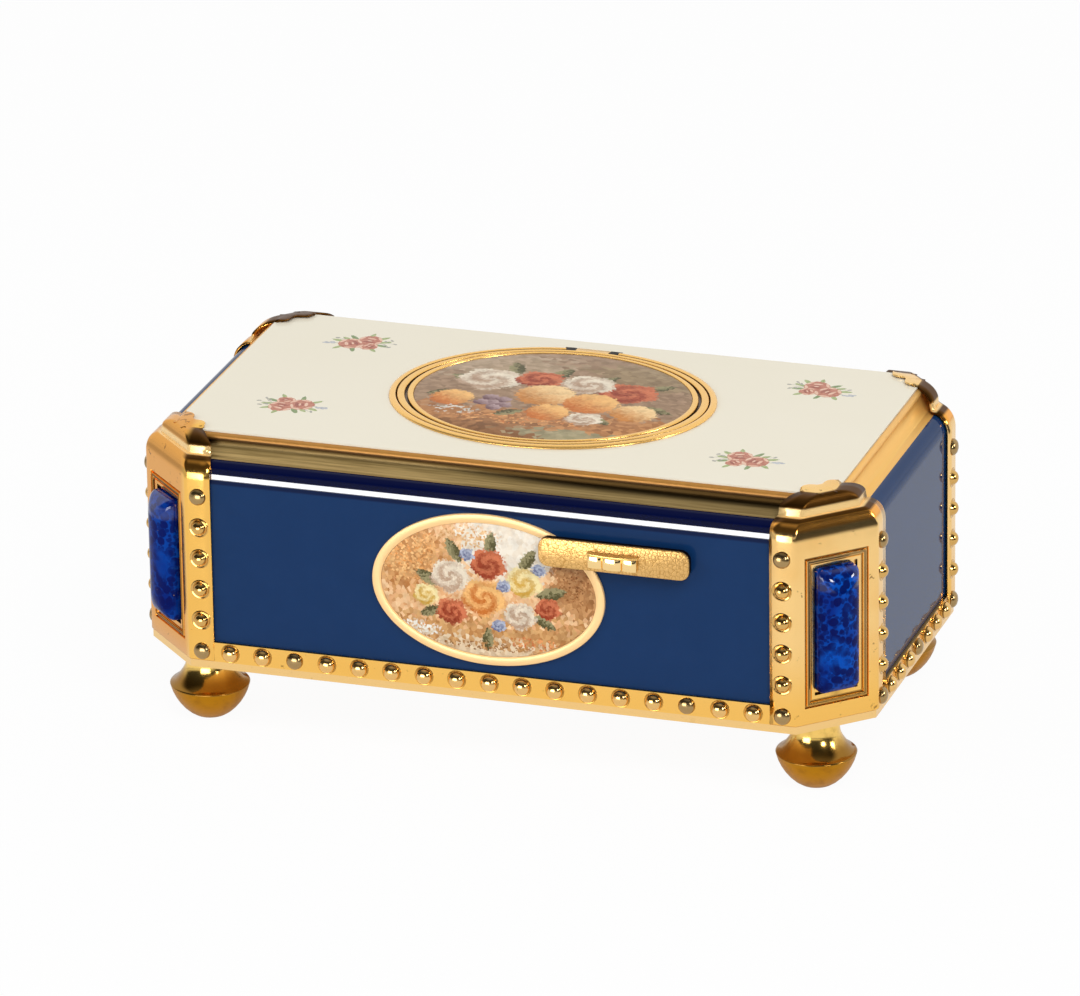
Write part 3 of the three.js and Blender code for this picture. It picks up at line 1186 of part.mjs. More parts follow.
function addLevers() {
  const [z0, z1] = [PISTON_LEVER_Z, PISTON_LEVER_Z + LEVER_THICKNESS];
  const [px, py] = [PISTON_LEVER_X, PISTON_LEVER_Y];
  const toCam = new THREE.Vector2(camArbor.x - px, camArbor.y - py);
  const tangent = Math.asin((CAM_REACH + LEVER_GAP + LEVER_WIDTH / 2) / toCam.length());
  const edge = new THREE.Vector2(1, 0).rotateAround(new THREE.Vector2(), toCam.angle() - tangent);
  const followerEnd = edge.multiplyScalar(toCam.length() * Math.cos(tangent) + LEVER_WIDTH);
  const follower = flatBar(px, py, px + followerEnd.x, py + followerEnd.y, LEVER_WIDTH, z0, z1);
  const push = flatBar(px, py, WHISTLE_X + LEVER_WIDTH / 2, py, LEVER_WIDTH, z0, z1);
  const eye = rod(LEVER_EYE, px, py, z0, z1);
  const bore = rod(LEVER_POST + SHAFT_PLAY, px, py, z0 - 1, z1 + 1);
  piece('piston_lever', cut(join(follower, push, eye), bore), brass);

  const [sx, sy] = [STOP_LEVER_X, STOP_LEVER_Y];
  const [s0, s1] = [STOP_LEVER_Z, STOP_LEVER_Z + LEVER_THICKNESS];
  const tail = { x: SLIDE_X, y: SLIDE_BAR_Y + SEAT + SLIDE_BAR / 2 };
  const away = new THREE.Vector2(sx - flyArbor.x, sy - flyArbor.y).normalize();
  const tip = away.clone().multiplyScalar(FLY_RADIUS + LEVER_GAP);
  const stopArm = flatBar(flyArbor.x + tip.x, flyArbor.y + tip.y, sx, sy, LEVER_WIDTH, s0, s1);
  const slope = (tail.x - sx) / (tail.y - sy);
  const prong = (side) => {
    const shift = side * (SLIDE_BAR / 2 + STOP_LEVER_FORK / 2 + SHAFT_PLAY);
    const endY = tail.y + SHAFT_PLAY;
    const endX = sx + slope * (endY - sy) + shift;
    return flatBar(sx + shift * 0.4, sy, endX, endY, STOP_LEVER_FORK, s0, s1);
  };
  const hub = rod(LEVER_EYE, sx, sy, s0, s1);
  const hole = rod(LEVER_POST + SHAFT_PLAY, sx, sy, s0 - 1, s1 + 1);
  piece('stop_lever', cut(join(stopArm, prong(-1), prong(1), hub), hole), brass);

  const stand = rod(LEVER_EYE, sx, sy, Z_CASE + SEAT, s0 - SEAT);
  piece('stop_lever_post', join(stand, rod(LEVER_POST, sx, sy, s0 - SHEET, s1 + SEAT)), brass);
}

// Bellows: a fixed base, a folded leather bag and a board that lifts at the front
function addBellows() {
  const [x0, x1] = [BELLOWS_LEFT, BELLOWS_LEFT + BELLOWS_LENGTH];
  const [y0, y1] = [BELLOWS_FRONT, BELLOWS_FRONT + BELLOWS_DEPTH];
  const baseTop = Z_CASE + SEAT + BELLOWS_BOARD;
  piece('bellows_base', box(x0, x1, y0, y1, Z_CASE + SEAT, baseTop), boxwood);
  const foldIn = BELLOWS_FOLD / 3;
  const ring = (inset, z) => [
    [x0 + inset, y0 + inset], [x1 - inset, y0 + inset], [x1 - inset, y1 - inset], [x0 + inset, y1 - inset],
  ].map(([x, y]) => new THREE.Vector3(x, y, z));
  const foldFoot = baseTop + SEAT;
  const rings = [[0, 0], [foldIn, 0.25], [0, 0.5], [foldIn, 0.75], [0, 1]];
  piece('bellows_leather', loft(rings.map(([inset, share]) =>
    ring(inset + SHEET, foldFoot + share * BELLOWS_FOLD))), leather);
  const boardFoot = foldFoot + BELLOWS_FOLD + SEAT;
  piece('bellows_board', box(x0, x1, y0, y1, boardFoot, boardFoot + BELLOWS_BOARD), boxwood);
}

// Whistle: a stopped tube with a mouth cut in its top, on a foot; the piston slides in from the front.
function addWhistle() {
  const [y0, y1] = [WHISTLE_FRONT, WHISTLE_FRONT + WHISTLE_LENGTH];
  const tube = longRod(WHISTLE_RADIUS, y0, y1, WHISTLE_X, WHISTLE_Z, ROUND_SIDES);
  const bore = longRod(WHISTLE_BORE, y0 - 1, y1 - WHISTLE_BORE, WHISTLE_X, WHISTLE_Z, ROUND_SIDES);
  const mouthRear = y1 - WHISTLE_BORE * 2;
  const mouthHalf = WHISTLE_BORE * 0.7;
  const mouth = box(
    WHISTLE_X - mouthHalf, WHISTLE_X + mouthHalf, mouthRear - WHISTLE_BORE, mouthRear,
    WHISTLE_Z + WHISTLE_BORE * 0.6, WHISTLE_Z + WHISTLE_RADIUS + 1,
  );
  const footHalf = WHISTLE_RADIUS * 0.6;
  const foot = box(
    WHISTLE_X - footHalf, WHISTLE_X + footHalf, y1 - WHISTLE_LENGTH / 2, y1 - WHISTLE_LENGTH / 4,
    Z_CASE + SEAT, WHISTLE_Z - WHISTLE_BORE,
  );
  piece('whistle_tube', cut(join(tube, foot), bore, mouth), brass);
  const headEnd = y0 + PISTON_LENGTH;
  const head = longRod(WHISTLE_BORE - SHAFT_PLAY, y0, headEnd, WHISTLE_X, WHISTLE_Z, ROUND_SIDES);
  const rodEnd = PISTON_LEVER_Y + LEVER_WIDTH / 2 + SHAFT_PLAY;
  const push = longRod(PISTON_ROD, rodEnd, y0 + 1, WHISTLE_X, WHISTLE_Z);
  piece('whistle_piston', join(head, push), steel);
}

addBase();
addFeet();
addCorners();
addPanels();
addStrips();
addCoveFrame();
addTop();
addLid();
addPlaque();
addSlide();
addBird();
addPlates();
addBarrel();
addWinding();
addTrain();
addLevers();
addBellows();
addWhistle();

// The origin stands under the middle of the whole object, which reaches farther forward at the slide's grip.
const FRONT_REACH = -SLIDE_BACK + SLIDE_THICKNESS + GRIP_REACH;
const REAR_REACH = CASE_DEPTH / 2 + STUD_HEIGHT;
part.position.y = (FRONT_REACH - REAR_REACH) / 2;

export default part;
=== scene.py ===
import math
import random

import bmesh
import bpy
from mathutils import Matrix, Vector


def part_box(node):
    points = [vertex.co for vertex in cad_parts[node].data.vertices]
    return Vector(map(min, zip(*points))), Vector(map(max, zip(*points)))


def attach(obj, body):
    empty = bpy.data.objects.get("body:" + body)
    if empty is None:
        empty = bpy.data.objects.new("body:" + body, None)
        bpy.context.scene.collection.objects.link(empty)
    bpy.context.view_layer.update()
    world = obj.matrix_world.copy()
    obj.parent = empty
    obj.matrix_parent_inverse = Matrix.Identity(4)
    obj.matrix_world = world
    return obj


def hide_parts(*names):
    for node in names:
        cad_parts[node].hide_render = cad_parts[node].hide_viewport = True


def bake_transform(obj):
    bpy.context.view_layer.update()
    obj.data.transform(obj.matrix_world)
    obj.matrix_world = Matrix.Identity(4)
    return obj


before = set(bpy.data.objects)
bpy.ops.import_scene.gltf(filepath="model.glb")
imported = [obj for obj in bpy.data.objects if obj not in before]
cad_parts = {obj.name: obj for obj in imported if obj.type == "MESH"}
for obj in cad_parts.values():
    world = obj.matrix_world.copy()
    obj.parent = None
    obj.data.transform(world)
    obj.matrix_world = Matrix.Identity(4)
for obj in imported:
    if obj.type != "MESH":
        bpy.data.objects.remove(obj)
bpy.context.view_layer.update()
MM = 0.001

# Sizes of the box in millimetres, as in the part's source
CASE_WIDTH = 110
CASE_DEPTH = 60
CORNER_CUT = 9.5
Z_CASE = 12.0
WALL_HEIGHT = 27.9
Z_SPRING = Z_CASE + WALL_HEIGHT
LOWER_RUN = 2.5
LOWER_RISE = 3.1
LOBE_STEP = 0.1
UPPER_RUN = 3.0
UPPER_RISE = 2.6
LOBE_RISER = 0.8
LIP_RISE = 0.45
Z_NOTCH = Z_SPRING + LOWER_RISE
Z_TOP = Z_NOTCH + UPPER_RISE
Z_CREST = Z_TOP + 0.55
TOP_INSET = LOWER_RUN + LOBE_STEP + UPPER_RUN
SHEET = 0.5
SEAT = 0.05
PANEL_INSET = 0.55
PANEL_INNER = 1.65
MITRE = math.tan(math.pi / 8)

FLANGE_WIDTH = 3.7
RIDGE_SHIFT = (0.3, 1.7)
FLANGE_TAPER = (0.4, 2.4)
FLANGE_STUD_OFFSET = 1.9
FLANGE_STUDS = 6
FLANGE_STUD_FOOT = 1.5
FLANGE_STUD_SPAN = 23.85
RIDGE_ROUND = 0.4
FRAME_HALF = 5.15
FRAME_FOOT = 2.5
STONE_HALF = 3.25
STONE_HALF_HEIGHT = 9.4
STONE_FOOT = 0.68
STONE_SIDE = 0.2
STONE_DOME = 2.3
STONE_CORNER = 0.9
STONE_HIP = 1.2
STONE_MIDDLE = Z_CASE + WALL_HEIGHT / 2

STRIP_HEIGHT = 3.0
LONG_STUDS = 17
LONG_NAIL = 2
SHORT_STUDS = 7
SHORT_NAIL = 3

FOOT_X = 45.95
FOOT_Y = 20.95
FOOT_TOP = 10.78

LID_Y = 0.9
PICTURE_X = 20.45
PICTURE_Y = 17.2
LID_X = 22.93
LID_DEPTH_Y = 18.75
RIM_SWELL = 0.6
LID_GAP = 0.22
Z_LID = 46.05
LID_THICKNESS = 2.2
BEZEL_WIDTH = 0.95
WELL_WALL = 0.6
WELL_LEDGE = 1.1
Z_GRILLE = 33.1
PLATE_THICKNESS = 0.9
HINGE_Y = LID_Y + LID_DEPTH_Y + LID_GAP + BEZEL_WIDTH / 2
HINGE_Z = Z_TOP + 0.12
KNUCKLE_HALF = 2.5
KNUCKLE_RADIUS = 0.75
NOTCH_HALF = 4.25
PIN_RADIUS = 0.3

PLAQUE_X = 17.4
PLAQUE_Z = 11.5
PLAQUE_RISE = 15.8
PLAQUE_RIM = 1.3
PLAQUE_THICKNESS = 0.42
SLIDE_AIR = 0.25
SLIDE_X = 19.2
SLIDE_RISE = 23.2
SLIDE_HALF = 11.2
SLIDE_HALF_HEIGHT = 2.2
SLIDE_THICKNESS = 1.1
SLIDE_BACK = -CASE_DEPTH / 2 + PANEL_INSET - PLAQUE_THICKNESS - SEAT - SLIDE_AIR
SLIDE_FRONT = SLIDE_BACK - SLIDE_THICKNESS

BIRD_Y = 9.5
BIRD_Z = 38.7

# The case's middle stands behind the origin, because the slide's grip reaches forward.
base_low, base_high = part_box("base_plate")
CASE_Y = (base_low.y + base_high.y) / 2 / MM

CORNERS = {
    "front_right": (1, 1),
    "front_left": (-1, 1),
    "rear_right": (1, -1),
    "rear_left": (-1, -1),
}
SIDES = {"front": 0, "right": 1, "rear": 2, "left": 3}


# Shader maths

class Socket:
    """A value in a material's nodes; sums and products on it add Math nodes."""

    def __init__(self, finish, socket):
        self.finish = finish
        self.socket = socket

    def math(self, operation, *others):
        return self.finish.node("ShaderNodeMath", {"operation": operation}, dict(enumerate((self, *others))))

    def __add__(self, other):
        return self.math("ADD", other)

    def __sub__(self, other):
        return self.math("SUBTRACT", other)

    def __rsub__(self, other):
        return self.finish.node("ShaderNodeMath", {"operation": "SUBTRACT"}, {0: other, 1: self})

    def __mul__(self, other):
        return self.math("MULTIPLY", other)

    def __truediv__(self, other):
        return self.math("DIVIDE", other)

    def __pow__(self, other):
        return self.math("POWER", other)

    __radd__ = __add__
    __rmul__ = __mul__

    def sine(self):
        return self.math("SINE")

    def size(self):
        return self.math("ABSOLUTE")

    def least(self, other):
        return self.math("MINIMUM", other)

    def most(self, other):
        return self.math("MAXIMUM", other)

    def step(self, low, high):
        """0 below low, 1 above high, smooth between; low may stand above high."""
        return self.finish.node("ShaderNodeMapRange", {"interpolation_type": "SMOOTHSTEP"}, {
            "Value": self, "From Min": low, "From Max": high,
        })

    def step_mm(self, low, high):
        """Step of a length, between two lengths in millimetres."""
        return self.step(low * MM, high * MM)

    def parts(self):
        split = self.finish.node("ShaderNodeSeparateXYZ", {}, {0: self})
        outputs = split.socket.node.outputs
        return [Socket(self.finish, outputs[i]) for i in range(3)]


class Nodes:
    """Node tree of a material or of the world, built from nothing."""

    def __init__(self, owner):
        owner.use_nodes = True
        self.tree = owner.node_tree
        self.tree.nodes.clear()

    def feed(self, socket, value):
        if isinstance(value, Socket):
            self.tree.links.new(value.socket, socket)
        elif socket.type == "RGBA" and len(value) == 3:
            socket.default_value = (*value, 1.0)
        else:
            socket.default_value = value

    def node(self, kind, settings=(), sockets=(), out=0):
        made = self.tree.nodes.new(kind)
        for key, value in dict(settings).items():
            setattr(made, key, value)
        for key, value in dict(sockets).items():
            self.feed(made.inputs[key], value)
        return Socket(self, made.outputs[out]) if made.outputs else made

    def mix(self, share, low, high):
        return self.node("ShaderNodeMix", {"data_type": "RGBA"}, {0: share, 6: low, 7: high}, 2)

    def layers(self, colour, *coats):
        """Lay coats over a colour, each a mask and a colour of its own."""
        for mask, coat in coats:
            colour = self.mix(mask, colour, coat)
        return colour

    def ray(self, kind):
        """1 for rays of a kind, 0 for others."""
        return self.node("ShaderNodeLightPath", out=f"Is {kind} Ray")

    def diffuse(self, colour):
        return self.node("ShaderNodeBsdfDiffuse", {}, {"Color": colour})

    def blended(self, share, low, high):
        return self.node("ShaderNodeMixShader", {}, {0: share, 1: low, 2: high})


finishes = {}


class Finish(Nodes):
    """One procedural material around a Principled shader, kept under its name."""

    def __init__(self, name, **sockets):
        finishes[name] = self
        self.material = bpy.data.materials.new(name)
        super().__init__(self.material)
        surface = self.node("ShaderNodeBsdfPrincipled")
        self.shader = surface.socket.node
        self.node("ShaderNodeOutputMaterial", {}, {"Surface": surface})
        self.place = self.node("ShaderNodeTexCoord", out="Object")
        self.x, self.y, self.z = self.place.parts()
        self.set(**sockets)

    def set(self, **sockets):
        for key, value in sockets.items():
            self.feed(self.shader.inputs[key.replace("_", " ")], value)

    def scaled(self, place, scale):
        return self.node("ShaderNodeVectorMath", {"operation": "MULTIPLY"}, {0: place, 1: scale})

    def moved(self, place, shift):
        return self.node("ShaderNodeVectorMath", {"operation": "ADD"}, {0: place, 1: shift})

    def warped(self, place, scale, detail, roughness, reach):
        """Place moved about by noise, as far as the reach."""
        warp = self.noise(scale, detail, roughness, out=1, at=place)
        return self.node("ShaderNodeVectorMath", {"operation": "MULTIPLY_ADD"}, {
            0: warp, 1: (reach, reach, reach), 2: place,
        })

    def noise(self, scale, detail, roughness, distortion=0.0, out=0, at=None):
        return self.node("ShaderNodeTexNoise", {}, {
            "Vector": at or self.place, "Scale": scale, "Detail": detail, "Roughness": roughness,
            "Distortion": distortion,
        }, out)

    def streaks(self, scale, detail, roughness, distortion=0.0):
        """Noise with a scale of its own along each axis."""
        return self.noise(1.0, detail, roughness, distortion, at=self.scaled(self.place, scale))

    def cells(self, scale, feature="F1", out=0, randomness=1.0, at=None):
        return self.node("ShaderNodeTexVoronoi", {"feature": feature}, {
            "Vector": at or self.place, "Scale": scale, "Randomness": randomness,
        }, out)

    def bump(self, height, distance, strength=1.0):
        self.set(Normal=self.node("ShaderNodeBump", {}, {
            "Height": height, "Distance": distance, "Strength": strength,
        }))

    def stamped(self, distance):
        """Slow waves from stamping, with a fine grain on them."""
        height = self.noise(130, 2, 0.4) + self.noise(2600, 2, 0.5) * 0.03
        self.bump(height, distance, 0.6)


# Metals

METALS = {
    "gilt": ((0.96, 0.63, 0.25), (0.5, 0.25, 0.06), 0.1, 0.26),
    "polished_gilt": ((0.98, 0.7, 0.31), (0.62, 0.36, 0.1), 0.06, 0.18),
    "plaque_gilt": ((1.0, 0.66, 0.31), (0.88, 0.53, 0.22), 0.3, 0.4, 900, 0.000004),
    "lid_gilt": ((1.0, 0.6, 0.18), (0.8, 0.42, 0.1), 0.22, 0.34),
    "stud_gilt": ((0.72, 0.43, 0.13), (0.3, 0.14, 0.03), 0.08, 0.16),
    "movement_brass": ((0.8, 0.58, 0.24), (0.4, 0.26, 0.08), 0.2, 0.38),
    "nail_bronze": ((0.42, 0.28, 0.12), (0.12, 0.075, 0.03), 0.16, 0.34, 1500),
    "steel": ((0.55, 0.56, 0.58), (0.22, 0.2, 0.19), 0.18, 0.34),
    # Near black steel: on the pin it is the metal's colour, on the lugs in the rear notch it is painted
    # shade.
    "dark_steel_and_painted_shade": ((0.014, 0.011, 0.009), (0.006, 0.004, 0.003), 0.4, 0.5),
}


def metal(name, bright, dull, gloss, satin, grain=900, wave=0.00001):
    """Sheet metal: slow waves from stamping, fine wear, and small dull spots of age."""
    finish = Finish(name, Metallic=1.0)
    age = finish.noise(160, 5, 0.6).step(0.62, 0.78)
    fleck = finish.noise(2400, 2, 0.5).step(0.7, 0.78)
    wear = finish.noise(grain, 4, 0.6)
    dark = (age * 0.55 + fleck * 0.4).least(1.0)
    finish.set(
        Base_Color=finish.mix(dark, bright, dull),
        Roughness=gloss + (satin - gloss) * (wear * 0.6 + dark * 0.5),
    )
    finish.stamped(wave)


def stamped_gilt():
    """Gilt sheet with spots of age, brown at the foot of each stud partly as patina and partly as painted
    shade, painted shade in the grooves and on the rear left lip, painted dark reflections over the lobes,
    deeper painted gold low down and on the left, and painted highlights on the lobes' risers.
    """
    finish = Finish("stamped_gilt")
    x, y, z = finish.x, finish.y, finish.z
    reach_x = x.size() - CASE_WIDTH / 2 * MM
    reach_y = (y - CASE_Y * MM).size() - CASE_DEPTH / 2 * MM
    proud = reach_x.most(reach_y).most((reach_x + reach_y + CORNER_CUT * MM) * math.sqrt(0.5))
    lobe_top = Z_CREST - LIP_RISE
    walls = z.step_mm(Z_SPRING, Z_SPRING - 0.2)
    # Painted shade: the groove mask darkens the frame's recessed steps, where shade falls.
    groove = proud.step_mm(-0.18, -0.3) * proud.step_mm(-0.6, -0.4) * walls
    # Brown at the foot of each stud: partly patina, partly painted shade where the stud meets the sheet.
    root = proud.step_mm(0.01, 0.08) * proud.step_mm(0.34, 0.16)
    dome = proud.step_mm(0.08, 0.2) * walls
    # Left end of the case: painted darker and more orange as painted shade, and given more spots of age.
    left_end_painted_shade_and_age = x.step_mm(-45.5, -46.8)
    # Painted dark reflections: deeper orange over the lower lobe and near black brown bands on both lobes'
    # crowns, none on the left end.
    shade = z.step_mm(Z_SPRING + 1.2, Z_SPRING + 1.7) * z.step_mm(Z_NOTCH + 0.03, Z_NOTCH)
    low_crown = z.step_mm(Z_SPRING + 2.4, Z_SPRING + 2.75) * shade
    high_crown = z.step_mm(Z_NOTCH + 0.85, Z_NOTCH + 1.05) * z.step_mm(lobe_top + 0.06, lobe_top - 0.02)
    crown = low_crown.most(high_crown) * (1 - left_end_painted_shade_and_age)
    shade = shade * (1 - left_end_painted_shade_and_age)
    spots = (finish.noise(620, 4, 0.6) + left_end_painted_shade_and_age * 0.03).step(0.66, 0.72)
    # Painted shade on the rear left lip.
    rear_left_painted_shade = x.step_mm(-30, -34) * y.step_mm(12, 16) * z.step_mm(Z_TOP - 0.3, Z_TOP)
    blush = finish.noise(70, 3, 0.5).step(0.45, 0.75)
    wear = finish.noise(700, 4, 0.6)
    # Dark brown mask: spots of age and patina, together with painted shade in the grooves and on the rear
    # left lip, and painted dark reflections on the crowns.
    grime_and_painted_shade = (groove * 0.6).most(root * 0.8).most(spots * 0.6).most(crown).most(rear_left_painted_shade)
    # Painted shade: deeper gold low down and on the left.
    deeper_painted_gold = z.step_mm(Z_CASE + 14, Z_CASE + 1).most(x.step_mm(20, -40))
    # Painted highlight: the lobes' risers are paler and less metallic.
    riser = z.step_mm(Z_NOTCH - 0.1, Z_NOTCH) * z.step_mm(Z_NOTCH + 1.3, Z_NOTCH + 0.9)
    riser = riser * proud.step_mm(-2.8, -2.5).most(proud.step_mm(-3.3, -3))
    sheet = finish.mix(blush, (1.0, 0.66, 0.26), (0.93, 0.54, 0.17))
    finish.set(
        Base_Color=finish.layers(
            sheet, (deeper_painted_gold * 0.85, (0.98, 0.55, 0.11)), (left_end_painted_shade_and_age * 0.9, (0.8, 0.36, 0.07)),
            (dome, (0.85, 0.53, 0.19)), (shade * 0.9, (1.0, 0.42, 0.06)), (grime_and_painted_shade, (0.11, 0.045, 0.008)),
            (riser, (1.0, 0.68, 0.28)),
        ),
        Metallic=1 - riser * 0.65,
        Roughness=0.1 + wear * 0.1 + grime_and_painted_shade * 0.2,
    )
    finish.stamped(0.00002)


def rim_gilt():
    """Gilt of the lid's two rims, with painted shade near black in the groove between them and on the lid's
    side beside the bezel.
    """
    finish = Finish("rim_gilt", Metallic=0.75)
    height = finish.z
    wear = finish.noise(900, 4, 0.6)
    # Painted shade, near black, in the groove between the rims and on the lid's side beside the bezel.
    groove_shade = height.step_mm(Z_LID - 0.1, Z_LID - 0.2) * height.step_mm(Z_LID - 0.8, Z_LID - 0.65)
    gold = finish.mix(wear, (1.0, 0.63, 0.19), (0.95, 0.54, 0.14))
    finish.set(Base_Color=finish.mix(groove_shade * 0.94, gold, (0.06, 0.022, 0.003)), Roughness=0.2 + wear * 0.12)
    finish.bump(finish.noise(130, 2, 0.4), 0.00001, 0.6)


def rails(finish):
    """Depth behind the walls on the rails round the top, and a mask of the two short rails."""
    depth_x = CASE_WIDTH / 2 * MM - finish.x.size()
    depth_y = CASE_DEPTH / 2 * MM - (finish.y - CASE_Y * MM).size()
    return depth_x.least(depth_y), depth_x.step_mm(6.2, 5.2)


def brushed_brass():
    """Brass drawn along the rail in long fine streaks, painted olive on the long rails and golden on the
    short ones as painted reflection, with painted shade near black under the bead.
    """
    finish = Finish("brushed_brass", Anisotropic=0.6)
    depth, short = rails(finish)
    along_x = finish.streaks((60, 3200, 3200), 4, 0.65)
    along_y = finish.streaks((3200, 60, 3200), 4, 0.65)
    streak = along_x * (1 - short) + along_y * short
    # Painted shade: a near black band under the bead on the long rails, set lower toward the right.
    lower = finish.x.step_mm(-12, 16) * 0.6 * MM
    under = (finish.z + lower).step_mm(Z_TOP - 2.3, Z_TOP - 1.3) * (1 - short)
    # Painted reflection: olive on the long rails, golden on the short ones.
    olive = finish.mix(streak.step(0.3, 0.72), (0.3, 0.2, 0.065), (0.66, 0.46, 0.18))
    gold = finish.mix(streak.step(0.2, 0.8), (1.0, 0.55, 0.13), (1.0, 0.61, 0.17))
    # Layers: painted shade darkening the long rails toward the right, a pale painted highlight at the rail's
    # foot, the painted shade under the bead, and the short rails' gold.
    finish.set(
        Base_Color=finish.layers(
            olive, (finish.x.step_mm(-40, 30) * 0.45, (0.17, 0.12, 0.045)),
            (depth.step_mm(2.8, 2.6), (0.9, 0.62, 0.3)), (under * 0.96, (0.02, 0.009, 0.002)), (short, gold),
        ),
        Metallic=0.5 + under * 0.5,
        Roughness=0.26 + streak * 0.2,
    )
    finish.bump(streak, 0.000012, 0.5)


def bead_gilt():
    """Orange gold of the bead round the cream plate, painted brighter on the short sides as painted
    reflection, with painted shade near black on the lower half of the long sides.
    """
    finish = Finish("bead_gilt", Metallic=0.45)
    _, short = rails(finish)
    wear = finish.noise(900, 4, 0.6)
    # Painted reflection: darker orange on the long sides, bright gold on the short sides; painted shade near
    # black on the lower half of the long sides.
    front = finish.mix(wear, (0.44, 0.19, 0.035), (0.6, 0.29, 0.06))
    front = finish.mix(finish.z.step_mm(Z_TOP - 0.6, Z_TOP - 1.0) * 0.9, front, (0.06, 0.025, 0.005))
    finish.set(Base_Color=finish.mix(short, front, (0.98, 0.56, 0.16)), Roughness=0.36 + wear * 0.16)


def pebbled_gilt():
    """Cast gilt with a surface of small pebbles; its sides are painted near black as painted shade."""
    finish = Finish("pebbled_gilt", Metallic=1.0)
    pebble = finish.cells(1750, "DISTANCE_TO_EDGE", randomness=0.75)
    line = pebble.step(0.085, 0.02)
    front = CASE_Y + SLIDE_FRONT
    # Painted shade: the plate's sides are near black.
    side = finish.y.step_mm(front + 0.25, front + 0.36)
    face = finish.mix(line * 0.55, (0.73, 0.44, 0.155), (0.32, 0.16, 0.03))
    finish.set(Base_Color=finish.mix(side, face, (0.035, 0.015, 0.006)), Roughness=0.36 + line * 0.2)
    finish.bump(pebble.step(0.0, 0.26), 0.000022, 0.6)


def foot_brass():
    """Turned brass: polished neck and shoulder, satin bowl with brown in its skin; painted dark reflection
    over the shoulder, fading up the neck, and painted shade darkening the bowl.
    """
    finish = Finish("foot_brass", Metallic=1.0)
    height = finish.z
    bowl = height.step_mm(4.9, 4.6)
    neck = height.step_mm(5.8, 8.2)
    age = finish.noise(420, 5, 0.65).step(0.45, 0.75)
    # Painted dark reflection over the shoulder, lightening up the neck; the bowl's darker colour is painted
    # shade.
    flare = finish.mix(neck, (0.34, 0.17, 0.03), (0.98, 0.64, 0.17))
    dark = (age * 0.4 + bowl * 0.1).least(1.0)
    finish.set(
        Base_Color=finish.layers(flare, (bowl, (0.52, 0.23, 0.008)), (dark, (0.26, 0.1, 0.01))),
        Roughness=0.14 + bowl * 0.26 + age * 0.06,
    )
    finish.bump(finish.streaks((30, 30, 5200), 3, 0.6), 0.000008, 0.5)


# Enamel and stone

def navy_enamel(name, edge_gloss, gloss):
    """Deep gloss enamel, with a band of painted shade darkening it over the rounded top edge."""
    finish = Finish(name, Specular_IOR_Level=gloss, Coat_Roughness=0.06, Coat_IOR=2.4)
    height = finish.z
    # Painted shade: a darker band over the rounded top edge, on the front panel only.
    edge = height.step_mm(Z_SPRING - 0.75, Z_SPRING - 0.35)
    tone_mask = (edge * 0.75 + height.step_mm(Z_SPRING - 0.2, Z_SPRING + 1.0) * 0.25) * edge_gloss
    polished = height.step_mm(Z_SPRING + 0.04, Z_SPRING + 0.18)
    polished = polished * height.step_mm(Z_SPRING + 1.8, Z_SPRING + 1.5)
    mottle = finish.noise(210, 4, 0.6)
    body = finish.mix(mottle, (0.0045, 0.03, 0.106), (0.0075, 0.037, 0.126))
    dust = finish.noise(3800, 2, 0.5).step(0.74, 0.8)
    finish.set(
        Base_Color=finish.layers(body, (tone_mask, (0.001, 0.003, 0.032)), (dust * 0.25, (0.1, 0.13, 0.2))),
        Roughness=0.04 + mottle * 0.04,
        Coat_Weight=polished * edge_gloss,
    )
    finish.bump(finish.noise(95, 2, 0.4), 0.00001, 0.25)


def cream_enamel():
    """Cream enamel with a soft gloss and a faint unevenness in its tone."""
    finish = Finish("cream_enamel", Specular_IOR_Level=0.15)
    tone = finish.noise(60, 3, 0.5)
    speck = finish.noise(3000, 2, 0.5).step(0.76, 0.82)
    colour = finish.mix(tone, (0.86, 0.8, 0.645), (0.88, 0.825, 0.68))
    finish.set(Base_Color=finish.mix(speck * 0.25, colour, (0.5, 0.42, 0.3)), Roughness=0.12 + tone * 0.06)
    finish.bump(finish.noise(240, 2, 0.4), 0.000006, 0.3)


def lapis():
    """Polished lapis: blotches of dark and bright blue, paler veins and a few gold flecks; the stones on the
    left are painted darker as painted shade.
    """
    finish = Finish("lapis", Specular_IOR_Level=0.06, Coat_Roughness=0.03)
    stone_top = STONE_MIDDLE + STONE_HALF_HEIGHT
    bent = finish.warped(finish.place, 420, 3, 0.6, 0.0011)
    # Painted shade: the stones on the left are darker.
    left = finish.x.step_mm(0, -10)
    cloud = finish.noise(170, 3, 0.55)
    dense = finish.noise(190, 3, 0.6, at=bent).step(0.32, 0.5)
    round_spots = finish.cells(760, at=bent).step(0.6, 0.46)
    fine_spots = finish.cells(1500, at=bent).step(0.56, 0.4)
    spot = round_spots.most(fine_spots * 0.75) * dense
    pale = finish.noise(330, 4, 0.65, at=bent).step(0.64, 0.76)
    fleck = finish.noise(1300, 2, 0.6, at=bent).step(0.75, 0.78)
    fleck = fleck * finish.noise(260, 2, 0.5).step(0.5, 0.6)
    bright = finish.mix(cloud.step(0.3, 0.7), (0.0005, 0.02, 0.21), (0.001, 0.075, 0.46))
    finish.set(
        Base_Color=finish.layers(
            bright, (spot * 0.9, (0.0003, 0.0015, 0.07)), (left * 0.4, (0.0003, 0.006, 0.12)),
            (pale * 0.35, (0.03, 0.2, 0.62)), (fleck, (0.6, 0.4, 0.14)),
        ),
        Metallic=fleck * 0.8,
        Roughness=0.06 + fleck * 0.2,
        Coat_Weight=finish.z.step_mm(stone_top - 3.2, stone_top - 2.6),
    )
    finish.bump(finish.noise(400, 2, 0.5), 0.000012, 0.2)


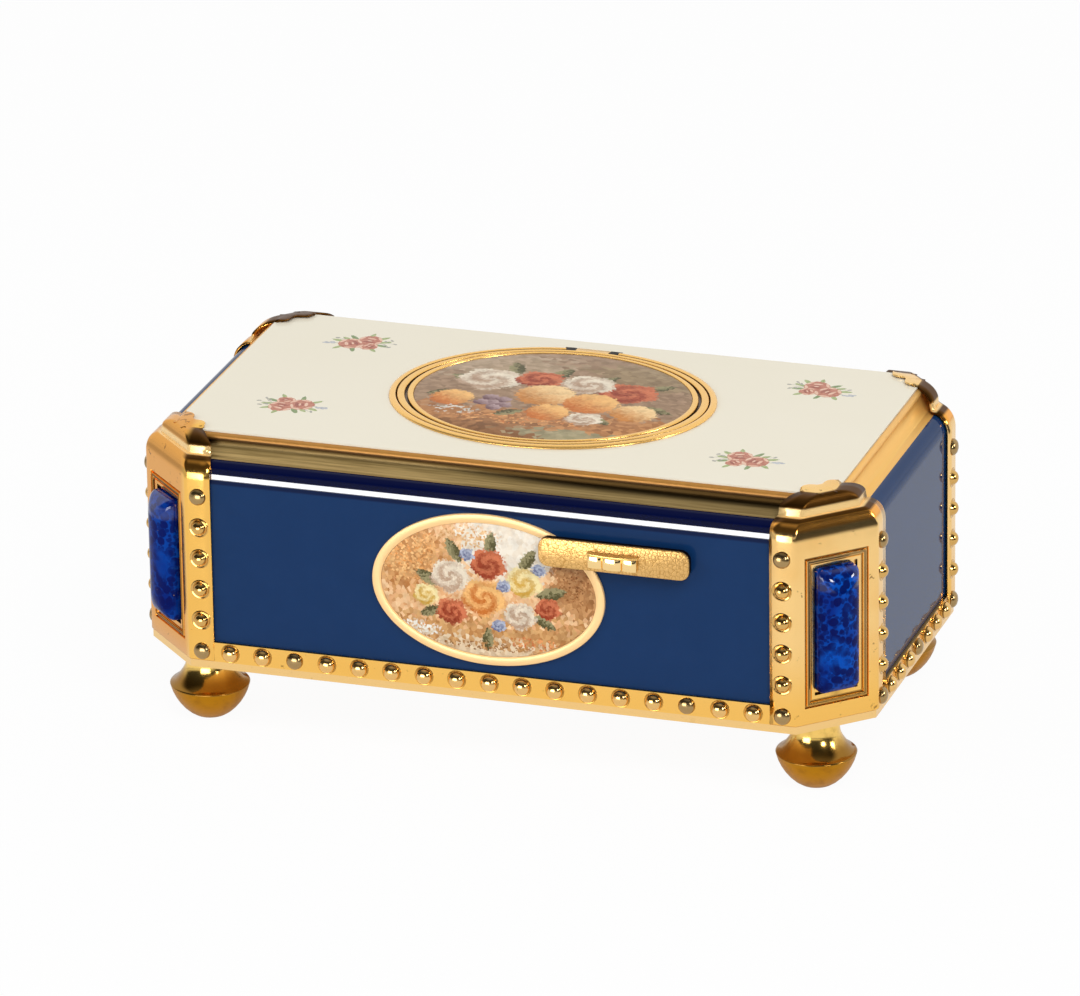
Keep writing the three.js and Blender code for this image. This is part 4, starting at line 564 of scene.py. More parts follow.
SPRAY_COLOURS = {
    "rose_red": ((0.46, 0.14, 0.08), (0.6, 0.24, 0.15)),
    "rose_dark": ((0.3, 0.07, 0.04), (0.42, 0.12, 0.07)),
    "rose_pale": ((0.78, 0.44, 0.3), (0.86, 0.62, 0.46)),
    "leaf_green": ((0.32, 0.4, 0.14), (0.48, 0.54, 0.26)),
    "leaf_dark": ((0.16, 0.24, 0.08), (0.28, 0.37, 0.16)),
    "tendril": ((0.34, 0.33, 0.28), (0.5, 0.48, 0.42)),
    "blue_sprig": ((0.4, 0.42, 0.46), (0.6, 0.6, 0.62)),
}


def paint(name, low, high):
    """Enamel paint laid by hand, thin in some places and thicker in others."""
    finish = Finish(name, Specular_IOR_Level=0.3)
    tone_mask = finish.noise(1900, 4, 0.6)
    finish.set(
        Base_Color=finish.mix(tone_mask.step(0.3, 0.7), low, high),
        Roughness=0.16 + finish.noise(5200, 2, 0.5) * 0.1,
    )
    finish.bump(tone_mask, 0.00002, 0.4)


class Painting:
    """Dabbed picture in a glazed finish: masks in millimetres across and up from its middle."""

    def __init__(self, name, middle, upright):
        self.finish = Finish(name, Specular_IOR_Level=0.08)
        self.source = self.finish.moved(self.finish.place, tuple(-c * MM for c in middle))
        self.upright = upright
        self.colour = None

    def dabs(self, size, stretch=(1, 1, 1)):
        """Start a layer of dabs of a size: each takes one colour from the scene under it."""
        bent = self.finish.warped(self.source, 900 / size, 2, 0.5, 0.5 * size * MM)
        scaled = self.finish.scaled(bent, stretch)
        x, y, z = self.finish.cells(1000 / size, "F1", "Position", at=scaled).parts()
        self.across = x * (1000 / stretch[0])
        self.up = z * (1000 / stretch[2]) if self.upright else y * (1000 / stretch[1])
        self.chance, self.tone, _ = self.finish.cells(1000 / size, "F1", "Color", at=scaled).parts()

    def loose(self, amount):
        """A shift that differs from dab to dab, for the edges of masks."""
        return (self.chance - 0.5) * amount

    def varied(self, amount):
        """A shift that differs from dab to dab, for tones."""
        return (self.tone - 0.5) * amount

    def cover(self, mask, colour):
        self.colour = self.finish.mix(mask, self.colour, colour)

    def ground(self, low, high):
        """Lay two tones over the whole picture."""
        self.colour = self.finish.mix(self.tone, low, high)

    def lay(self, mask, low, high):
        """Lay two tones over the picture where the mask is."""
        self.cover(mask, self.finish.mix(self.tone, low, high))

    def under(self, y, slope):
        """Mask of all that lies below a sloping line with a loose edge."""
        return (self.up - y - self.across * slope + self.loose(3.0)).step(0.45, -0.45)

    def near(self, x, y, half_x, half_y):
        """Place from the middle of an oval and distance from it, 1 on its outline."""
        dx = (self.across - x) / half_x
        dy = (self.up - y) / half_y
        return dx, dy, (dx * dx + dy * dy) ** 0.5

    def blob(self, x, y, half_x, half_y):
        """Mask of an oval with a loose edge."""
        far = self.near(x, y, half_x, half_y)[2]
        return (far + self.loose(0.7)).step(1.14, 0.86)

    def sprinkle(self, mask, share, low, high):
        """Lay scattered dabs where the mask is."""
        self.lay(mask * self.chance.step(1 - share, 1 - share + 0.02), low, high)

    def fruit(self, x, y, half, dark, light):
        """Round fruit, lit from the upper right."""
        dx, dy, far = self.near(x, y, half, half * 0.92)
        lit = (dx * 0.45 + dy * 0.7 + self.varied(0.4)).step(-0.8, 0.75)
        outline = (far + self.loose(0.14)).step(1.04, 0.94)
        self.cover(outline, self.finish.mix(lit, dark, light))

    def bloom(self, x, y, half, dark, light):
        """Full rose: petals wind outward from its heart."""
        dx, dy, far = self.near(x, y, half, half * 0.86)
        turn = dy.math("ARCTAN2", dx)
        petal = (far * 10 + turn * 2 + self.loose(1.4)).sine()
        lit = (petal * 0.4 + dx * 0.2 + dy * 0.35 + far * 0.35 + self.varied(0.3)).step(-0.5, 0.85)
        outline = (far + (turn * 5).sine() * 0.07 + self.loose(0.16)).step(1.04, 0.93)
        self.cover(outline, self.finish.mix(lit, dark, light))

    def leaf(self, x, y, length, degrees, dark, light):
        """Pointed leaf, lighter on one side of its rib."""
        cos, sin = math.cos(math.radians(degrees)), math.sin(math.radians(degrees))
        along = ((self.across - x) * cos + (self.up - y) * sin) / (length / 2)
        aside = ((self.up - y) * cos - (self.across - x) * sin) / (length * 0.2)
        outline = (along * along + aside.size() + self.loose(0.2)).step(1.05, 0.9)
        lit = (aside + self.varied(1.2)).step(-0.5, 0.5)
        self.cover(outline, self.finish.mix(lit, dark, light))

    def glaze(self):
        grain = self.finish.noise(4200, 2, 0.5, at=self.source)
        soft = self.finish.noise(420, 4, 0.6, at=self.source)
        self.cover(soft.step(0.6, 0.3) * 0.22, (0.08, 0.035, 0.015))
        self.finish.set(Base_Color=self.colour, Roughness=0.24 + grain * 0.12)
        self.finish.bump(grain, 0.000006, 0.3)


PEACH = ((0.6, 0.17, 0.03), (0.95, 0.55, 0.2))
APRICOT = ((0.62, 0.24, 0.05), (0.97, 0.68, 0.34))
POPPY = ((0.3, 0.04, 0.015), (0.68, 0.2, 0.09))
CREAM_ROSE = ((0.5, 0.33, 0.22), (0.9, 0.79, 0.62))
GRAPE = ((0.16, 0.08, 0.09), (0.48, 0.34, 0.34))
OLIVE_LEAF = ((0.1, 0.09, 0.035), (0.34, 0.3, 0.15))
CORNFLOWER = ((0.16, 0.18, 0.3), (0.5, 0.54, 0.66))
LEMON = ((0.66, 0.38, 0.06), (0.95, 0.8, 0.42))

# Leaves of the two pictures: place across and up, length, and degrees
LID_LEAVES = [
    (-14, 3, 6, 150), (-8, 8.5, 6, 110), (-1, 8, 6, 70), (6, 7, 5.5, 60), (14.5, 6.5, 5, 40),
    (16.5, -2, 5, -20), (-15.5, -3, 5, 200), (9.5, -8, 5, -35), (-4, -8.5, 5, 215),
]
PLAQUE_LEAVES = [
    (-8.5, 1, 5, 160), (-5, 5.5, 4.5, 120), (0.5, 7, 4.5, 85), (6, 5.2, 4.5, 55),
    (9.5, 0.5, 5, 15), (8.5, -4, 4, -30), (-8.5, -4, 4, 205), (0, -7.5, 4, 270),
]
GRAPES = [(-8.2, -3.4), (-6.2, -3.9), (-7.4, -5.4), (-5.4, -5.9), (-6.6, -7.2), (-8.9, -5.6)]
CORNFLOWERS = [(-3.0, 5.2), (2.4, 0.9), (1.6, -5.2), (7.7, 3.9)]


def lid_picture():
    """Fruit and roses on a ledge."""
    art = Painting("lid_picture", (0, CASE_Y + LID_Y, Z_LID), False)
    art.dabs(0.8, (0.7, 1.1, 1))
    art.ground((0.3, 0.19, 0.11), (0.46, 0.3, 0.19))
    art.lay(art.blob(-9, 9, 10, 6), (0.4, 0.29, 0.18), (0.56, 0.41, 0.28))
    art.lay(art.blob(11, 10, 8, 5), (0.28, 0.19, 0.1), (0.42, 0.3, 0.17))
    art.lay(art.under(-6.5, 0.05), (0.38, 0.16, 0.06), (0.62, 0.3, 0.12))
    art.lay(art.under(-12.5, -0.03), (0.22, 0.1, 0.04), (0.4, 0.19, 0.08))
    art.lay(art.blob(8, -14.5, 9, 2), (0.32, 0.28, 0.16), (0.48, 0.4, 0.24))
    art.dabs(0.36, (0.85, 1.1, 1))
    for leaf in LID_LEAVES:
        art.leaf(*leaf, *OLIVE_LEAF)
    art.bloom(-10.5, 3.5, 4.8, *CREAM_ROSE)
    art.bloom(-3.4, 5.2, 3.6, *POPPY)
    art.bloom(10.6, 3.2, 4.4, *POPPY)
    art.bloom(4.0, 5.0, 4.0, *CREAM_ROSE)
    art.fruit(-13.6, -4.8, 3.2, *PEACH)
    art.fruit(-0.8, -0.6, 4.4, *APRICOT)
    art.fruit(13.6, -4.2, 3.4, *APRICOT)
    art.fruit(6.6, -2.2, 4.2, *PEACH)
    for place in GRAPES:
        art.fruit(*place, 1.25, *GRAPE)
    art.fruit(1.6, -7.0, 3.3, *PEACH)
    art.bloom(7.4, -8.2, 2.8, *CREAM_ROSE)
    art.dabs(0.4)
    art.sprinkle(art.blob(-2, -11, 13, 2.2), 0.3, (0.6, 0.2, 0.06), (0.85, 0.45, 0.18))
    art.sprinkle(art.blob(-12, -9, 5, 2), 0.35, (0.55, 0.5, 0.42), (0.82, 0.76, 0.66))
    art.glaze()


def plaque_picture():
    """Bouquet before a garden in evening light."""
    art = Painting("plaque_picture", (0, CASE_Y - CASE_DEPTH / 2, Z_CASE + PLAQUE_RISE), True)
    art.dabs(0.55, (1, 1, 0.85))
    art.ground((0.78, 0.38, 0.16), (0.95, 0.66, 0.38))
    art.lay(art.blob(4, 7, 9, 5), (0.84, 0.72, 0.56), (0.95, 0.88, 0.76))
    art.lay(art.blob(-12, 4.5, 6, 6), (0.5, 0.2, 0.06), (0.8, 0.44, 0.18))
    art.lay(art.blob(13.5, 3, 4, 7), (0.36, 0.15, 0.05), (0.64, 0.34, 0.14))
    art.lay(art.under(-4.5, 0.04), (0.5, 0.22, 0.07), (0.76, 0.44, 0.18))
    art.lay(art.under(-8, -0.05), (0.7, 0.5, 0.3), (0.9, 0.74, 0.52))
    art.dabs(0.28)
    art.sprinkle(art.blob(-12, 5, 5, 5), 0.5, (0.75, 0.3, 0.08), (0.95, 0.6, 0.26))
    art.sprinkle(art.blob(13, 4, 3.6, 6), 0.4, (0.22, 0.08, 0.025), (0.5, 0.22, 0.08))
    art.sprinkle(art.blob(-3, 8, 6, 2.4), 0.35, (0.7, 0.35, 0.12), (0.9, 0.62, 0.34))
    for leaf in PLAQUE_LEAVES:
        art.leaf(*leaf, *OLIVE_LEAF)
    art.bloom(-5.6, 1.6, 2.9, *CREAM_ROSE)
    art.bloom(0.2, 4.0, 2.7, *POPPY)
    art.bloom(5.4, 1.8, 2.7, *LEMON)
    art.bloom(-0.6, -1.2, 3.2, *PEACH)
    art.bloom(4.8, -3.4, 2.4, *CREAM_ROSE)
    art.bloom(-5.4, -3.8, 2.3, *POPPY)
    art.bloom(9.0, -1.9, 1.9, *POPPY)
    art.bloom(-9.2, -1.6, 1.9, *LEMON)
    for place in CORNFLOWERS:
        art.bloom(*place, 1.1, *CORNFLOWER)
    art.sprinkle(art.blob(-10.5, -6.8, 4, 1.3), 0.5, (0.78, 0.7, 0.58), (0.96, 0.92, 0.84))
    art.sprinkle(art.blob(7, -7.6, 5, 1.3), 0.4, (0.62, 0.16, 0.05), (0.9, 0.42, 0.16))
    art.sprinkle(art.blob(0, -8.6, 9, 0.9), 0.35, (0.3, 0.13, 0.05), (0.55, 0.28, 0.1))
    art.glaze()


# Feathers, bone, leather and wood

def plumage():
    """Bird's feathers: green back, blue head and rust belly."""
    finish = Finish("plumage", Specular_IOR_Level=0.45, Sheen_Weight=0.25)
    fleck = finish.noise(1300, 3, 0.6)
    back = finish.mix(fleck, (0.004, 0.05, 0.045), (0.02, 0.2, 0.1))
    head = finish.mix(fleck, (0.006, 0.03, 0.13), (0.02, 0.16, 0.34))
    belly = finish.mix(fleck, (0.36, 0.14, 0.03), (0.62, 0.32, 0.09))
    ahead = finish.y.step_mm(CASE_Y + BIRD_Y - 15, CASE_Y + BIRD_Y - 17.5)
    under = finish.z.step_mm(BIRD_Z + 0.4, BIRD_Z - 1.4)
    finish.set(Base_Color=finish.layers(back, (ahead, head), (under, belly)), Roughness=0.32 + fleck * 0.2)
    finish.bump(finish.streaks((6000, 900, 6000), 2, 0.5), 0.00003, 0.5)


def barbs(name, low, high):
    """Feathers with fine barbs across the quill."""
    finish = Finish(name, Specular_IOR_Level=0.4, Sheen_Weight=0.2)
    line = finish.streaks((9000, 1600, 9000), 2, 0.5)
    finish.set(Base_Color=finish.mix(line.step(0.3, 0.7), low, high), Roughness=0.35 + line * 0.2)
    finish.bump(line, 0.00003, 0.5)


def ivory():
    """Carved bone, yellowed along its grain."""
    finish = Finish("ivory", Specular_IOR_Level=0.45)
    grain = finish.streaks((2600, 300, 2600), 3, 0.6)
    colour = finish.mix(grain, (0.55, 0.4, 0.2), (0.8, 0.68, 0.45))
    finish.set(Base_Color=colour, Roughness=0.25 + grain * 0.15)
    finish.bump(grain, 0.00001, 0.3)


def kid_leather():
    """Thin pale leather with small creases."""
    finish = Finish("kid_leather", Specular_IOR_Level=0.3)
    crease = finish.cells(1500, "DISTANCE_TO_EDGE").step(0.0, 0.18)
    soil = finish.noise(240, 4, 0.6).step(0.4, 0.75)
    colour = finish.mix(soil, (0.66, 0.58, 0.46), (0.44, 0.35, 0.24))
    finish.set(Base_Color=colour, Roughness=0.62 + (1 - crease) * 0.2)
    finish.bump(crease, 0.00005, 0.6)


def boxwood():
    """Close-grained wood, rubbed with oil."""
    finish = Finish("boxwood", Specular_IOR_Level=0.35)
    grain = finish.streaks((120, 2200, 2200), 4, 0.65, 0.6)
    ring = finish.streaks((20, 420, 420), 3, 0.5)
    colour = finish.mix(grain * 0.6 + ring * 0.4, (0.24, 0.12, 0.04), (0.55, 0.34, 0.14))
    finish.set(Base_Color=colour, Roughness=0.4 + grain * 0.2)
    finish.bump(grain, 0.00003, 0.4)


def make_finishes():
    for name, looks in METALS.items():
        metal(name, *looks)
    finishes["plaque_gilt"].set(Metallic=0.25, Specular_IOR_Level=0.1)
    finishes["lid_gilt"].set(Metallic=0.75)
    for name, tones in SPRAY_COLOURS.items():
        paint(name, *tones)
    navy_enamel("navy_enamel", 1.0, 0.13)
    navy_enamel("side_enamel", 0.0, 0.14)
    barbs("quill", (0.006, 0.03, 0.06), (0.03, 0.13, 0.2))
    barbs("tail_feathers", (0.09, 0.02, 0.008), (0.42, 0.11, 0.03))
    Finish("black_glass", Base_Color=(0.004, 0.003, 0.003), Roughness=0.03)
    for make in (stamped_gilt, rim_gilt, bead_gilt, brushed_brass, pebbled_gilt, foot_brass, cream_enamel,
                 lapis, lid_picture, plaque_picture, plumage, ivory, kid_leather, boxwood):
        make()


# Mesh building, in millimetres from the case's middle

CORNER_STEPS = 6
OVAL_STEPS = 144
SMOOTH_DEGREES = 34
BEVEL_DEGREES = 35


def around(count, turn=0.0):
    """Angles of a full round in equal steps."""
    return [2 * math.pi * (i + turn) / count for i in range(count)]


def between(a, b, share):
    return tuple(p + (q - p) * share for p, q in zip(a, b))


def curve(a, b, c, t):
    return between(between(a, b, t), between(b, c, t), t)


def quarter(centre, height, run, rise, steps):
    """Points of a convex quarter oval as [depth, height], from its foot to its crown."""
    angles = [i / steps * math.pi / 2 for i in range(steps + 1)]
    return [(centre - run * math.cos(angle), height + rise * math.sin(angle)) for angle in angles]


def rounded_ring(half_x, half_z, radius):
    """Points of a rounded oblong, as [across, up]."""
    ring = []
    for cx, cz, start in ((1, -1, -90), (1, 1, 0), (-1, 1, 90), (-1, -1, 180)):
        for k in range(CORNER_STEPS + 1):
            angle = math.radians(start + 90 * k / CORNER_STEPS)
            ring.append((cx * (half_x - radius) + radius * math.cos(angle),
                         cz * (half_z - radius) + radius * math.sin(angle)))
    return ring


def oval(half_x, half_y, offset, angle, swell=0.0):
    """A point on an oval, moved out along its normal; the swell moves it further at the two ends."""
    nx, ny = math.cos(angle) / half_x, math.sin(angle) / half_y
    length = math.hypot(nx, ny)
    offset *= 1 + swell * math.cos(angle) ** 2
    return half_x * math.cos(angle) + nx / length * offset, half_y * math.sin(angle) + ny / length * offset


def oval_rings(profile, half_x, half_y, place, swell=0.0):
    """Rings of points round an oval, one for each [offset, level] of a profile."""
    return [
        [place(*oval(half_x, half_y, offset, angle, swell), level) for angle in around(OVAL_STEPS)]
        for offset, level in profile
    ]


class Shape:
    """Points and faces of one piece."""

    def __init__(self):
        self.points = []
        self.faces = []

    def add(self, points, faces):
        start = len(self.points)
        self.points.extend(points)
        self.faces.extend([tuple(start + i for i in face) for face in faces])
        return self

    def loft(self, rows, closed=False, caps=True):
        """Skin over rings of points."""
        count = len(rows[0])
        faces = []
        for r in range(len(rows) if closed else len(rows) - 1):
            near = r * count
            far = (r + 1) % len(rows) * count
            for i in range(count):
                j = (i + 1) % count
                faces.append((near + i, near + j, far + j, far + i))
        if caps and not closed:
            faces.append(tuple(reversed(range(count))))
            faces.append(tuple((len(rows) - 1) * count + i for i in range(count)))
        return self.add([p for row in rows for p in row], faces)

    def turned(self, profile, place=(0, 0, 0), toward=(0, 0, 1), sides=24):
        """Turn [radius, height] pairs about an axis; a radius of 0 makes a point."""
        turn = Vector((0, 0, 1)).rotation_difference(Vector(toward)).to_matrix()
        points = []
        rings = []
        for radius, height in profile:
            ring = []
            for angle in around(sides)[:1 if radius == 0 else sides]:
                spot = Vector((radius * math.cos(angle), radius * math.sin(angle), height))
                ring.append(len(points))
                points.append(tuple(turn @ spot + Vector(place)))
            rings.append(ring)
        faces = []
        for near, far in zip(rings, rings[1:]):
            for i in range(sides):
                j = (i + 1) % sides
                corner = [near[i % len(near)], near[j % len(near)], far[j % len(far)], far[i % len(far)]]
                faces.append(tuple(dict.fromkeys(corner)))
        return self.add(points, faces)

    def box(self, low, high):
        xs, ys, zs = zip(low, high)
        points = [(x, y, z) for z in zs for y in ys for x in xs]
        faces = [(0, 2, 3, 1), (4, 5, 7, 6), (0, 1, 5, 4), (2, 6, 7, 3), (0, 4, 6, 2), (1, 3, 7, 5)]
        return self.add(points, faces)

    def mirrored(self, side, end):
        return Shape().add([(x * side, y * end, z) for x, y, z in self.points], self.faces)

    def on_side(self, quarter_turns):
        """The same shape, drawn on the front, turned to another side."""
        spin = Matrix.Rotation(math.pi / 2 * quarter_turns, 3, "Z")
        return Shape().add([tuple(spin @ Vector(p)) for p in self.points], self.faces)

    def mesh(self, name):
        made = bpy.data.meshes.new(name)
        points = [(x * MM, (y + CASE_Y) * MM, z * MM) for x, y, z in self.points]
        made.from_pydata(points, [], self.faces)
        return made


def add_object(name, data):
    made = bpy.data.objects.new(name, data)
    bpy.context.scene.collection.objects.link(made)
    return made


def piece(name, shape, finish, stands_for=None, body="case", sharp=38, sheet=0.0):
    """Make a shape into an object that rides on a body of the frame."""
    mesh = shape.mesh(name)
    work = bmesh.new()
    work.from_mesh(mesh)
    bmesh.ops.remove_doubles(work, verts=work.verts, dist=1e-7)
    bmesh.ops.recalc_face_normals(work, faces=work.faces)
    work.to_mesh(mesh)
    work.free()
    made = add_object(name, mesh)
    mesh.materials.append(finishes[finish].material)
    mesh.shade_smooth()
    mesh.set_sharp_from_angle(angle=math.radians(sharp))
    if sheet:
        thicken = made.modifiers.new("sheet", "SOLIDIFY")
        thicken.thickness = sheet * MM
        thicken.offset = -1
    if body:
        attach(made, body)
    if stands_for:
        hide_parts(stands_for)
    return made


def cut_out(made, cutter):
    """Cut a shape out of a piece for good."""
    tool = add_object("cutter", cutter.mesh("cutter"))
    trim = made.modifiers.new("cut", "BOOLEAN")
    trim.object = tool
    trim.solver = "EXACT"
    bpy.context.view_layer.update()
    graph = bpy.context.evaluated_depsgraph_get()
    result = bpy.data.meshes.new_from_object(made.evaluated_get(graph))
    made.modifiers.remove(trim)
    made.data = result
    bpy.data.objects.remove(tool)


def dress(finish, width, *names):
    """Give nodes of the frame a finish and edges softened to a width."""
    for name in names:
        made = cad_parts[name]
        made.data.materials.clear()
        made.data.materials.append(finishes[finish].material)
        made.data.shade_smooth()
        made.data.set_sharp_from_angle(angle=math.radians(SMOOTH_DEGREES))
        bevel = made.modifiers.new("soft edges", "BEVEL")
        bevel.width = width * MM
        bevel.segments = 2
        bevel.limit_method = "ANGLE"
        bevel.angle_limit = math.radians(BEVEL_DEGREES)
        bevel.harden_normals = True


# Plan of the case

def over_lobes(inset, steps):
    """Sum of two steps, the first made over the lower lobe's run and the second over the upper one's."""
    low = min(inset / LOWER_RUN, 1)
    high = min(max(inset - LOWER_RUN, 0) / (TOP_INSET - LOWER_RUN), 1)
    return steps[0] * low + steps[1] * high


def corner_run(inset):
    """Distance of the ridges from the next wall: they close in over the lobes and part again behind them."""
    return CORNER_CUT - over_lobes(inset, RIDGE_SHIFT) + max(inset - TOP_INSET, 0) * MITRE


def front_ridge(inset):
    return CASE_WIDTH / 2 - corner_run(inset), -CASE_DEPTH / 2 + inset


def side_ridge(inset):
    return CASE_WIDTH / 2 - inset, -CASE_DEPTH / 2 + corner_run(inset)


def case_outline(inset):
    a, b = front_ridge(inset), side_ridge(inset)
    right = [a, b, (b[0], -b[1]), (a[0], -a[1])]
    return right + [(-x, y) for x, y in reversed(right)]


def ring_round(profile):
    """Carry a [depth, height] profile round the case."""
    outlines = [[(x, y, z) for x, y in case_outline(depth)] for depth, z in profile]
    sections = [[outline[corner] for outline in outlines] for corner in range(len(outlines[0]))]
    return Shape().loft(sections, closed=True)


def on_cant(across, depth, height):
    """A point on the front right canted face: across it, behind it and above the floor."""
    x, y = (CASE_WIDTH - CORNER_CUT) / 2, -(CASE_DEPTH - CORNER_CUT) / 2
    turn = math.sqrt(0.5)
    return x + across * turn - depth * turn, y + across * turn + depth * turn, height


def on_front(x, z, depth):
    """A point on the front wall: across, above the case's foot, in front of the panel."""
    return x, -CASE_DEPTH / 2 + PANEL_INSET - SEAT - depth, Z_CASE + z


def on_plaque(x, z, depth):
    return on_front(x, z + PLAQUE_RISE, depth)


def on_lid(x, y, z):
    return x, y + LID_Y, z


def on_slide(x, y, z):
    return SLIDE_X + x, y, Z_CASE + SLIDE_RISE + z


# Stamped corner mounts

MOUNT_SHEET = 0.45
LOBE_STEPS = 12
BEND_STEPS = 5
STONE_STEPS = 12
STONE_CORNER_GROWTH = 0.2
# Unevenness of the flanges' edges: reach, pace and start of each wave
RIPPLES = [(0.08, 1.1, 0), (0.05, 2.7, 1)]
FRAME_LEFT = 8
FRAME_RIGHT = 10
FRAME_ROW = 2
# Half of the lip's edge, as distances from the two walls
LIP_HALF = [
    (10.4, 6.2), (10.42, 6.6), (10.35, 7.0), (10.15, 7.35), (9.85, 7.62), (9.5, 7.78), (9.15, 7.86),
    (8.85, 7.88), (8.5, 7.9), (8.15, 8.15),
]
# Rows of the lip, as shares of the way to its edge and drops under the crest
LIP_ROWS = [(0.35, LIP_RISE * 0.55), (0.85, 0.02), (0.97, 0.06), (1.0, 0.2)]
# Mouldings of the stone's frame, as [inset, depth]
FRAME_MOULDING = [
    (0.0, 0.0), (0.1, 0.3), (0.28, 0.3), (0.4, -0.02), (0.6, -0.12), (0.82, -0.02), (0.92, 0.28),
    (1.1, 0.28), (1.2, 0.12), (1.7, 0.2), (1.8, 0.7),
]
# Studs and nails, as [radius, height]
STAMPED_STUD = [
    (0, -0.3), (1.5, -0.3), (1.5, 0.0), (1.44, 0.06), (1.36, 0.09), (1.28, 0.06), (1.2, 0.03), (1.12, 0.06),
    (1.05, 0.2), (0.95, 0.42), (0.78, 0.63), (0.52, 0.8), (0.25, 0.89), (0, 0.92),
]
STRIP_STUD = [
    (0, -0.3), (1.46, -0.3), (1.46, 0.0), (1.42, 0.05), (1.36, 0.05), (1.3, 0.02), (1.24, 0.05), (1.22, 0.2),
    (1.12, 0.48), (0.94, 0.72), (0.66, 0.92), (0.34, 1.02), (0, 1.05),
]
NAIL_HEAD = [
    (0, -0.3), (1.2, -0.3), (1.24, 0.02), (1.26, 0.12), (1.2, 0.3), (1.04, 0.52), (0.78, 0.7), (0.42, 0.82),
    (0, 0.86),
]


def mount_rows():
    """Section of a mount from its foot to its crest, as [depth, height]."""
    rows = [(0.12, Z_CASE), (0.0, Z_CASE + 0.15), (0.0, Z_CASE + FRAME_FOOT), (0.0, Z_SPRING - FRAME_FOOT)]
    rows += quarter(LOWER_RUN, Z_SPRING, LOWER_RUN, LOWER_RISE, LOBE_STEPS)
    rows.append((TOP_INSET - UPPER_RUN, Z_NOTCH))
    rise = Z_CREST - LIP_RISE - Z_NOTCH - LOBE_RISER
    rows += quarter(TOP_INSET, Z_NOTCH + LOBE_RISER, UPPER_RUN - LOBE_STEP, rise, LOBE_STEPS)
    return rows


def mount_plan(depth, height):
    """Points across a mount at one depth and height: flange, rounded ridge, canted face, ridge, flange."""
    a, b = front_ridge(depth), side_ridge(depth)
    ripple = sum(reach * math.sin(height * pace + start) for reach, pace, start in RIPPLES)
    reach = CORNER_CUT + FLANGE_WIDTH - over_lobes(depth, FLANGE_TAPER) + ripple
    front = (CASE_WIDTH / 2 - reach, a[1])
    side = (b[0], -CASE_DEPTH / 2 + reach)
    wide = math.dist(a, b)
    bend_start = min(RIDGE_ROUND, wide * 0.3)
    near_a, past_a = between(a, front, bend_start / math.dist(a, front)), between(a, b, bend_start / wide)
    near_b, past_b = between(b, a, bend_start / wide), between(b, side, bend_start / math.dist(b, side))
    share = min(FRAME_HALF / wide, 0.4)
    plan = [front, between(front, near_a, 0.5)]
    plan += [curve(near_a, a, past_a, t / BEND_STEPS) for t in range(BEND_STEPS + 1)]
    plan += [between(a, b, 0.5 + way * share) for way in (-1, 0, 1)]
    plan += [curve(near_b, b, past_b, t / BEND_STEPS) for t in range(BEND_STEPS + 1)]
    plan += [between(past_b, side, 0.5), side]
    return plan


def lip_plan():
    """Edge of the lip on the cream plate, from the front flange to the side flange: two round lobes."""
    both = LIP_HALF + [(v, u) for u, v in reversed(LIP_HALF[:-1])]
    return [(CASE_WIDTH / 2 - u, -CASE_DEPTH / 2 + v) for u, v in both]


def corner_mount():
    shape = Shape()
    rows = [[(x, y, height) for x, y in mount_plan(depth, height)] for depth, height in mount_rows()]
    crest = rows[-1]
    for share, drop in LIP_ROWS:
        rows.append([(*between(a[:2], b, share), Z_CREST - drop) for a, b in zip(crest, lip_plan())])
    columns = list(zip(*rows))
    count = len(rows)
    faces = []
    for c in range(len(columns) - 1):
        for r in range(count - 1):
            if FRAME_LEFT <= c < FRAME_RIGHT and r == FRAME_ROW:
                continue
            near, far = c * count + r, (c + 1) * count + r
            faces.append((near, far, far + 1, near + 1))
    shape.add([p for column in columns for p in column], faces)
    add_frame(shape)
    return shape


def add_frame(shape):
    """Moulded frame round the stone, stepped in from the canted face, and the bed behind the stone."""
    tall = WALL_HEIGHT / 2 - FRAME_FOOT
    rings = []
    for offset, depth in FRAME_MOULDING:
        half, up = FRAME_HALF - offset, tall - offset
        corners = [(-half, -up), (0, -up), (half, -up), (half, up), (0, up), (-half, up)]
        rings.append([on_cant(x, depth, STONE_MIDDLE + z) for x, z in corners])
    shape.loft(rings, caps=False)
    start = len(shape.points) - len(rings[-1])
    shape.faces.append(tuple(start + i for i in range(len(rings[-1]))))


def flange_spots():
    """Places of the studs on the two flanges of the front right mount, and which are nails."""
    spots = []
    for i in range(FLANGE_STUDS):
        z = Z_CASE + FLANGE_STUD_FOOT + FLANGE_STUD_SPAN * i / (FLANGE_STUDS - 1)
        nail = i in (0, FLANGE_STUDS - 1)
        spots.append(((front_ridge(0)[0] - FLANGE_STUD_OFFSET, -CASE_DEPTH / 2, z), (0, -1, 0), nail))
        spots.append(((CASE_WIDTH / 2, side_ridge(0)[1] + FLANGE_STUD_OFFSET, z), (1, 0, 0), nail))
    return spots


def corner_stone():
    """Oblong cabochon with an oval section, hipped at its ends."""
    levels = [(0.0, STONE_FOOT)]
    for offset, height in quarter(STONE_HALF, STONE_SIDE, STONE_HALF, STONE_DOME, STONE_STEPS)[:-1]:
        levels.append((offset, -height))
    rows = []
    for offset, depth in levels:
        half, up = STONE_HALF - offset, STONE_HALF_HEIGHT - offset * STONE_HIP
        radius = min(STONE_CORNER + offset * STONE_CORNER_GROWTH, half)
        rows.append([on_cant(x, depth, STONE_MIDDLE + z) for x, z in rounded_ring(half, up, radius)])
    return Shape().loft(rows)


